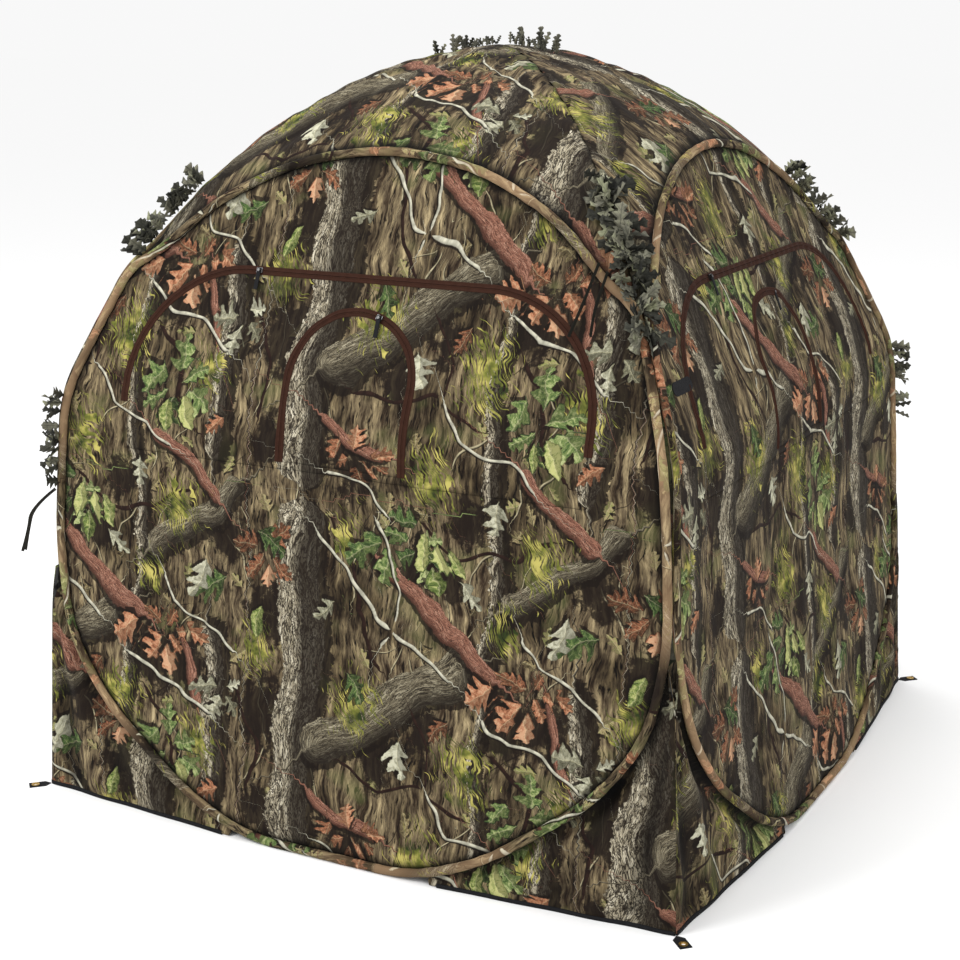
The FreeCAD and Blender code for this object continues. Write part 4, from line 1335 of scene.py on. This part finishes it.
def make_roof():
    places, faces, brow_line = roof_cut()
    across, out = places[:, 0], places[:, 1]
    rim, place = line_distance(places, brow_line)
    hip = (out - np.abs(across)) / math.sqrt(2)
    radius = np.hypot(across, out)
    base = np.column_stack([across, -out, roof_height(across, out)])
    for wall, turn in WALLS.items():
        seed = turn + 31
        calm = np.clip(rim / 0.05, 0, 1) * np.clip(hip / 0.04, 0, 1) * np.clip(radius / 0.15, 0, 1)
        relief = 0.004 * waves(across, out, seed, 0.22) * calm
        angle = np.arctan2(across, out)
        relief += 0.0028 * waves(angle * 0.6, radius * 0.12, seed + 1, 0.07) * calm
        relief += 0.0022 * np.sin(radius * 95.0 + seed) * np.exp(-hip / 0.045) * np.clip(radius / 0.1, 0, 1)
        relief -= 0.0035 * np.exp(-((hip / HIP_SEAM) ** 2))
        relief += 0.0022 * np.sin(place * 140.0 + seed) * np.exp(-rim / 0.03)
        relief -= 0.0040 * np.exp(-((rim / 0.014) ** 2))
        points = base + np.array([0.0, 0.0, 1.0]) * relief[:, None]
        points = turned(points, turn)
        piece = mesh_piece(f"cloth_roof_{wall}", points, faces[:, ::-1], [CAMO, LINING])
        shift = ROOF_PRINT_STARTS[wall]
        # painted shade beside the brow's hoop and in the hips' seams
        painted_shade_and_fade = 1.1 * np.exp(-((rim / HOOP_SHADE_SPREAD) ** 2)) + 0.5 * np.exp(-((hip / HIP_SEAM) ** 2))
        print_cloth(piece.data, np.column_stack([across + shift[0], shift[1] - out * 1.1]), painted_shade_and_fade)
        thicken(piece, CLOTH)
        finish_piece(piece, "frame", "camo_cloth", f"roof_{wall}")
        declare_sheet(points, faces, (1.25, 0.80))


ROOF_PRINT_STARTS = {"front": (0.60, 0.74), "right": (0.12, 0.30), "back": (0.33, 0.95), "left": (0.80, 0.55)}

# ---------------------------------------------------------------- ground skirts and hem


def skirt_face(across, height):
    """How far forward the skirt's flat triangle stands beside the front wall, as a y value."""
    seam = HALF - float(inset(SEAM_SPLIT))
    out = -STOP_INSETS[0] / (HALF - SKIRT_START)
    rise = (HALF - seam - out * (HALF - seam)) / SEAM_SPLIT
    return -HALF - out * (HALF - across) + rise * height


def skirt_limit(height):
    """How far across a skirt's triangle reaches, to the corner's mitre."""
    out = -STOP_INSETS[0] / (HALF - SKIRT_START)
    return -skirt_face(0.0, height) / (1.0 + out)


def skirt_folds(across, height, seed):
    """Folds that fan from where the hoops part down to the stake."""
    down = np.clip(SEAM_SPLIT - height, 0.0, None)
    fan = (HALF - across) / (down + 0.06)
    rise = np.clip(height / 0.03, 0.15, 1.0)
    near = np.exp(-fan / 0.55)
    closed = np.clip((skirt_limit(height) - across) / 0.025, 0.0, 1.0)
    depth = 0.0130 * near * np.clip(down / 0.08, 0.0, 1.0) * rise * closed
    return depth * np.sin(fan * 21.0 + seed) + 0.0025 * waves(across, height, seed, 0.16) * rise * closed


def skirt_cut():
    low = 0.002
    bends = [(0.200, HOOP_RISE), (0.360, 0.072), (0.585, 0.236), (0.692, 0.378), (0.7245, 0.520)]
    rim = rounded_line(bends)
    lower = rim[rim[:, 0] > SKIRT_START]
    high = SEAM_SPLIT + 0.02
    seam = [(skirt_limit(high), high), (skirt_limit(low), low)]
    outline = np.vstack([lower, seam, [lower[0][0], low], lower[0]])
    outline = even_line(outline, MESH_STEP)
    outline = np.vstack([outline[:-1], outline[:1]])
    return cut_cloth([outline], lambda p: in_polygon(p, outline))


CORNER_PRINT_STARTS = {
    "front_right": (0.30, 0.10),
    "back_right": (0.10, 0.60),
    "back_left": (0.50, 0.22),
    "front_left": (0.72, 0.44),
}


def make_skirts():
    places, faces = skirt_cut()
    across, height = places[:, 0], places[:, 1]
    rim, _ = line_distance(places, HOOP)
    for corner, turn in CORNERS.items():
        halves = []
        for side, seed in ((1, turn + 1), (-1, turn + 2)):
            gutter = np.exp(-(((rim - GUTTER_PLACE) / GUTTER_WIDE) ** 2))
            gutter = gutter * (1.0 - np.exp(-((rim / RIM_TIGHT) ** 2)))
            recess = GUTTER_DEEP * gutter * np.clip(height / 0.05, 0.0, 1.0)
            forward = skirt_face(across, height) - skirt_folds(across, height, seed) + recess
            points = np.column_stack([across, forward, height])
            if side < 0:
                points = np.column_stack([-points[:, 1], -points[:, 0], points[:, 2]])
            halves.append(points)
        points = np.vstack(halves)
        both = np.vstack([faces, faces[:, ::-1] + len(places)])
        points = turned(points, turn)
        piece = mesh_piece(f"cloth_skirt_{corner}", points, both, [CAMO, LINING])
        start = CORNER_PRINT_STARTS[corner]
        here = np.column_stack([across + start[0], height + start[1]])
        there = np.column_stack([start[0] + 1.6 - across, height + start[1]])
        folds = [skirt_folds(across, height, seed) for seed in (turn + 1, turn + 2)]
        # painted shade in the folds' valleys and beside the hoops, where the skirt sinks back
        valley = [np.clip(fold / -0.010, 0.0, 1.0) for fold in folds]
        seam = np.exp(-((rim / 0.020) ** 2)) * np.clip(height / 0.04, 0.0, 1.0)
        painted_shade_and_fade = np.concatenate([0.95 * seam + 0.65 * side for side in valley])
        print_cloth(piece.data, np.vstack([here, there]), painted_shade_and_fade)
        thicken(piece, CLOTH)
        finish_piece(piece, "frame", "camo_cloth", f"corner_skirt_{corner}")
        declare_sheet(points, both, (1.04, 0.51))


def make_hem():
    """A black binding over the lower edge of the skirts, all one piece."""
    section = [(-0.0022, 0.0006), (-0.0026, 0.004), (-0.0024, HEM_TALL), (-0.0004, HEM_TALL + 0.0006)]
    section += [(0.0016, HEM_TALL), (0.0018, 0.004), (0.0014, 0.0006), (-0.0004, 0.0)]
    across = np.arange(HEM_START, HALF - 0.001, 0.006)
    points, faces = [], []
    for turn in WALLS.values():
        for side, seed in ((1, turn + 1), (-1, turn + 2)):
            rows = []
            for out, height in section:
                forward = skirt_face(across, height) - skirt_folds(across, height, seed) + out
                rows.append(np.column_stack([across, forward, np.full(len(across), height)]))
            strip = np.stack(rows, axis=1).reshape(-1, 3)
            if side < 0:
                strip = np.column_stack([-strip[:, 1], -strip[:, 0], strip[:, 2]])
            start = sum(len(p) for p in points)
            sides = len(section)
            ring = [tuple(start + i for i in f) for f in tube_faces(len(across), sides, False)]
            faces += ring if side > 0 else [f[::-1] for f in ring]
            points.append(turned(strip, turn))
    piece = mesh_piece("hem_binding", np.vstack(points), faces, [WEBBING])
    finish_piece(piece, "frame", "black_webbing", "bottom_hem")


# ---------------------------------------------------------------- cloth leaves

# at the right front corner: how far its leaves face up, the way sideways and the way down
LEAF_TILT = 0.3
FLANK = np.array([1.0, 1.0, 0.0]) / math.sqrt(2)
DOWN_SEAM = np.array([0.25, -0.25, -1.0])
LITTLE_LEAF_SEED = 12


def leaf_points(length, wide, lobes, depth, curl):
    """One cut leaf, as rows of a left, a middle and a right point, with its own coordinates."""
    along = np.linspace(0.0, 1.0, 17)
    belly = (4.0 * along * (1.0 - along)) ** 0.6
    cut = 1.0 - depth + depth * np.cos(math.tau * lobes * along + 2.6)
    half = length * wide / 2 * belly * cut + 0.0008
    rows = []
    for side in (-1.0, 0.0, 1.0):
        sweep = 0.35 * half * abs(side)
        lift = 0.25 * half * abs(side) - curl * length * along**2
        points = np.column_stack([along * length + sweep, side * half, lift])
        rows.append((points, np.column_stack([along, side * half / length])))
    points = np.stack([row[0] for row in rows], axis=1).reshape(-1, 3)
    spots = np.stack([row[1] for row in rows], axis=1).reshape(-1, 2)
    return points, spots


def unit(v):
    v = np.asarray(v, dtype=float)
    return v / np.linalg.norm(v)


def leaf_frame(forward, facing):
    """Axes of a leaf that points forward and has its face as near to facing as it can."""
    forward = unit(forward)
    side = unit(np.cross(facing, forward))
    return np.stack([forward, side, np.cross(forward, side)])


def make_leaf_piece(name, leaves, node):
    """Cut leaves joined in one piece; each has a seat, axes, shape and shade."""
    points, spots, faces = [], [], []
    for seat, axes, shape, shade in leaves:
        own, spot = leaf_points(*shape)
        start = len(points) * len(own)
        points.append(own @ axes + seat)
        spots.append(np.column_stack([spot, np.full(len(spot), shade)]))
        faces += [tuple(start + i for i in face) for face in ribbon_faces(len(own) // 3, 3)]
    piece = mesh_piece(name, np.vstack(points), faces, [LEAF_CLOTH])
    put_vectors(piece.data, "leaf_spot", np.vstack(spots))
    thicken(piece, 0.0005, lined=False)
    finish_piece(piece, "frame", "leaf_cloth", node)


def hip_line(reaches):
    """Places on a roof hip of the right front corner, with the way out of the roof there."""
    step = 0.001
    seats, outs = [], []
    for reach in reaches:
        height = float(roof_height(reach, reach))
        slope = (height - float(roof_height(reach + step, reach + step))) / step
        seats.append(np.array([reach, -reach, height]))
        outs.append(unit([slope, -slope, 2.0]))
    return seats, outs


def seam_line(heights):
    """Places on the corner seam below the roof, with the way out of the corner there."""
    reach = [HALF - float(inset(height)) - SEAM_GAP * 0.6 for height in heights]
    seats = [np.array([r, -r, height]) for r, height in zip(reach, heights)]
    return seats, [unit([1.0, -1.0, LEAF_TILT]) for _ in heights]


def sprouting(source, line, count, lean, size):
    """Leaves along a line: lean is how much they stand off, spread sideways and hang down."""
    seats, outs = line
    off, spread, hang = lean
    leaves = []
    for _ in range(count):
        k = int(source.integers(0, len(seats)))
        out = outs[k]
        flank = source.uniform(-1.0, 1.0)
        forward = out * source.uniform(0.4, 1.0) * off + FLANK * flank * spread
        forward = forward + DOWN_SEAM * source.uniform(-0.4, 1.0) * hang
        facing = out * 0.8 + FLANK * source.normal(0.0, 0.7) + np.array([0.0, 0.0, source.normal(0.0, 0.5)])
        seat = seats[k] + out * source.uniform(0.004, 0.009) + FLANK * flank * 0.004
        shape = (source.uniform(*size), source.uniform(0.5, 0.75), 3.2, 0.36, source.uniform(-0.1, 0.3))
        leaves.append((seat, leaf_frame(forward, facing), shape, source.uniform(0.0, 0.8)))
    return leaves


def make_leaves():
    """Cloth leaves on every roof hip and low on three corners, and sprigs along the apex."""
    source = np.random.default_rng(LITTLE_LEAF_SEED)
    hips = {
        "front_right": (np.linspace(0.445, 0.600, 30), 104, (0.5, 1.0, 1.0)),
        "front_left": (np.linspace(0.480, 0.580, 20), 48, (1.0, 0.8, 0.35)),
        "back_right": (np.linspace(0.495, 0.590, 20), 40, (1.0, 0.7, 0.35)),
        "back_left": (np.linspace(0.480, 0.580, 20), 40, (1.0, 0.7, 0.35)),
    }
    leaves = []
    for corner, (reaches, count, lean) in hips.items():
        bunch = sprouting(source, hip_line(reaches), count, lean, (0.032, 0.058))
        if corner != "front_right":
            line = seam_line(np.linspace(0.705, 0.895, 12))
            bunch += sprouting(source, line, 26, (0.9, 0.9, 0.6), (0.034, 0.056))
        else:
            line = seam_line(np.linspace(1.120, 1.185, 8))
            bunch += sprouting(source, line, 18, (0.4, 0.8, 1.0), (0.034, 0.056))
        for seat, axes, shape, shade in bunch:
            turn = CORNERS[corner]
            leaves.append((turned(seat[None], turn)[0], turned(axes, turn), shape, shade))
    make_leaf_piece("corner_leaf_trim", leaves, "corner_leaves")
    sprigs = []
    for middle, spread, count, tall in (
        (-0.172, 0.006, 3, 0.040),
        (-0.134, 0.006, 3, 0.044),
        (-0.086, 0.020, 9, 0.034),
        (-0.030, 0.024, 8, 0.024),
        (0.048, 0.005, 3, 0.050),
        (0.090, 0.006, 4, 0.052),
        (0.126, 0.006, 4, 0.048),
        (0.070, 0.060, 16, 0.026),
    ):
        for _ in range(count):
            x = middle + source.uniform(-spread, spread)
            seat = np.array([x, source.uniform(-0.003, 0.003), float(roof_profile(abs(x))) + 0.001])
            forward = (source.normal(0.0, 0.22 if count < 5 else 0.8), source.normal(0.0, 0.25), 1.0)
            facing = (source.normal(0.0, 0.6), -1.0, 0.0)
            shape = (tall * source.uniform(0.8, 1.05), 0.42, 4.0, 0.42, source.uniform(-0.15, 0.15))
            sprigs.append((seat, leaf_frame(forward, facing), shape, source.uniform(0.2, 0.6)))
    make_leaf_piece("apex_leaf_trim", sprigs, "apex_leaves")


# ---------------------------------------------------------------- light, floor and finish


def make_stage():
    """A pale floor, whitest far off, where it meets the white surroundings."""
    bpy.ops.mesh.primitive_plane_add(size=80.0, location=(0.0, 0.0, 0.0))
    floor = bpy.context.object
    floor.name = "floor"
    nodes = Nodes("pale_floor")
    spot = nodes.add("ShaderNodeTexCoord").outputs["Object"]
    far = nodes.add("ShaderNodeVectorMath", {0: spot}, operation="LENGTH").outputs["Value"]
    shade = nodes.noise(spot, 1.5, 2.0)
    near = nodes.mix(shade, (0.90, 0.90, 0.90), (0.94, 0.94, 0.94))
    colour = nodes.mix(nodes.step(far, 2.5, 8.0), near, (0.998, 0.998, 0.998))
    floor.data.materials.append(nodes.finish(colour, 1.0, None, Specular_IOR_Level=0.0))


def make_lights():
    world = bpy.data.worlds.new("studio")
    world.use_nodes = True
    back = world.node_tree.nodes["Background"]
    back.inputs[0].default_value = (1.0, 1.0, 1.0, 1.0)
    back.inputs[1].default_value = 0.94
    bpy.context.scene.world = world
    for name, place, size, power in (
        ("key", (-2.6, -4.2, 4.2), 2.6, 210.0),
        ("fill", (4.4, -2.6, 2.6), 2.4, 60.0),
        ("top", (0.0, 0.6, 4.8), 3.0, 90.0),
    ):
        light = bpy.data.lights.new(name, "AREA")
        light.size = size
        light.energy = power
        lamp = bpy.data.objects.new(name, light)
        lamp.location = place
        aim = Vector((0.0, 0.0, 0.7)) - Vector(place)
        lamp.rotation_euler = aim.to_track_quat("-Z", "Y").to_euler()
        bpy.context.scene.collection.objects.link(lamp)
    bpy.context.scene.view_settings.view_transform = "Standard"


def dress_cad_nodes():
    """Materials for the CAD nodes that stay in view."""
    finishes = {
        "spring_steel": STEEL,
        "ferrule_steel": FERRULE,
        "black_webbing": WEBBING,
        "zip_tape": TAPE,
        "zip_metal": ENAMEL,
        "brass": BRASS,
        "leaf_cloth": LEAF_CLOTH,
        "camo_cloth": LINING,
    }
    for row in frame["record"]["subparts"]:
        node = frame["nodes"][row["node"]]
        for slot in node.material_slots:
            slot.material = finishes[row["material_slot"]]


for ribbon in RIBBONS:
    ribbon.data.materials.append(RIBBON)
dress_cad_nodes()
make_walls()
make_zips()
make_sleeves()
make_corner_seams()
make_roof()
make_skirts()
make_hem()
make_leaves()
make_stage()
make_lights()
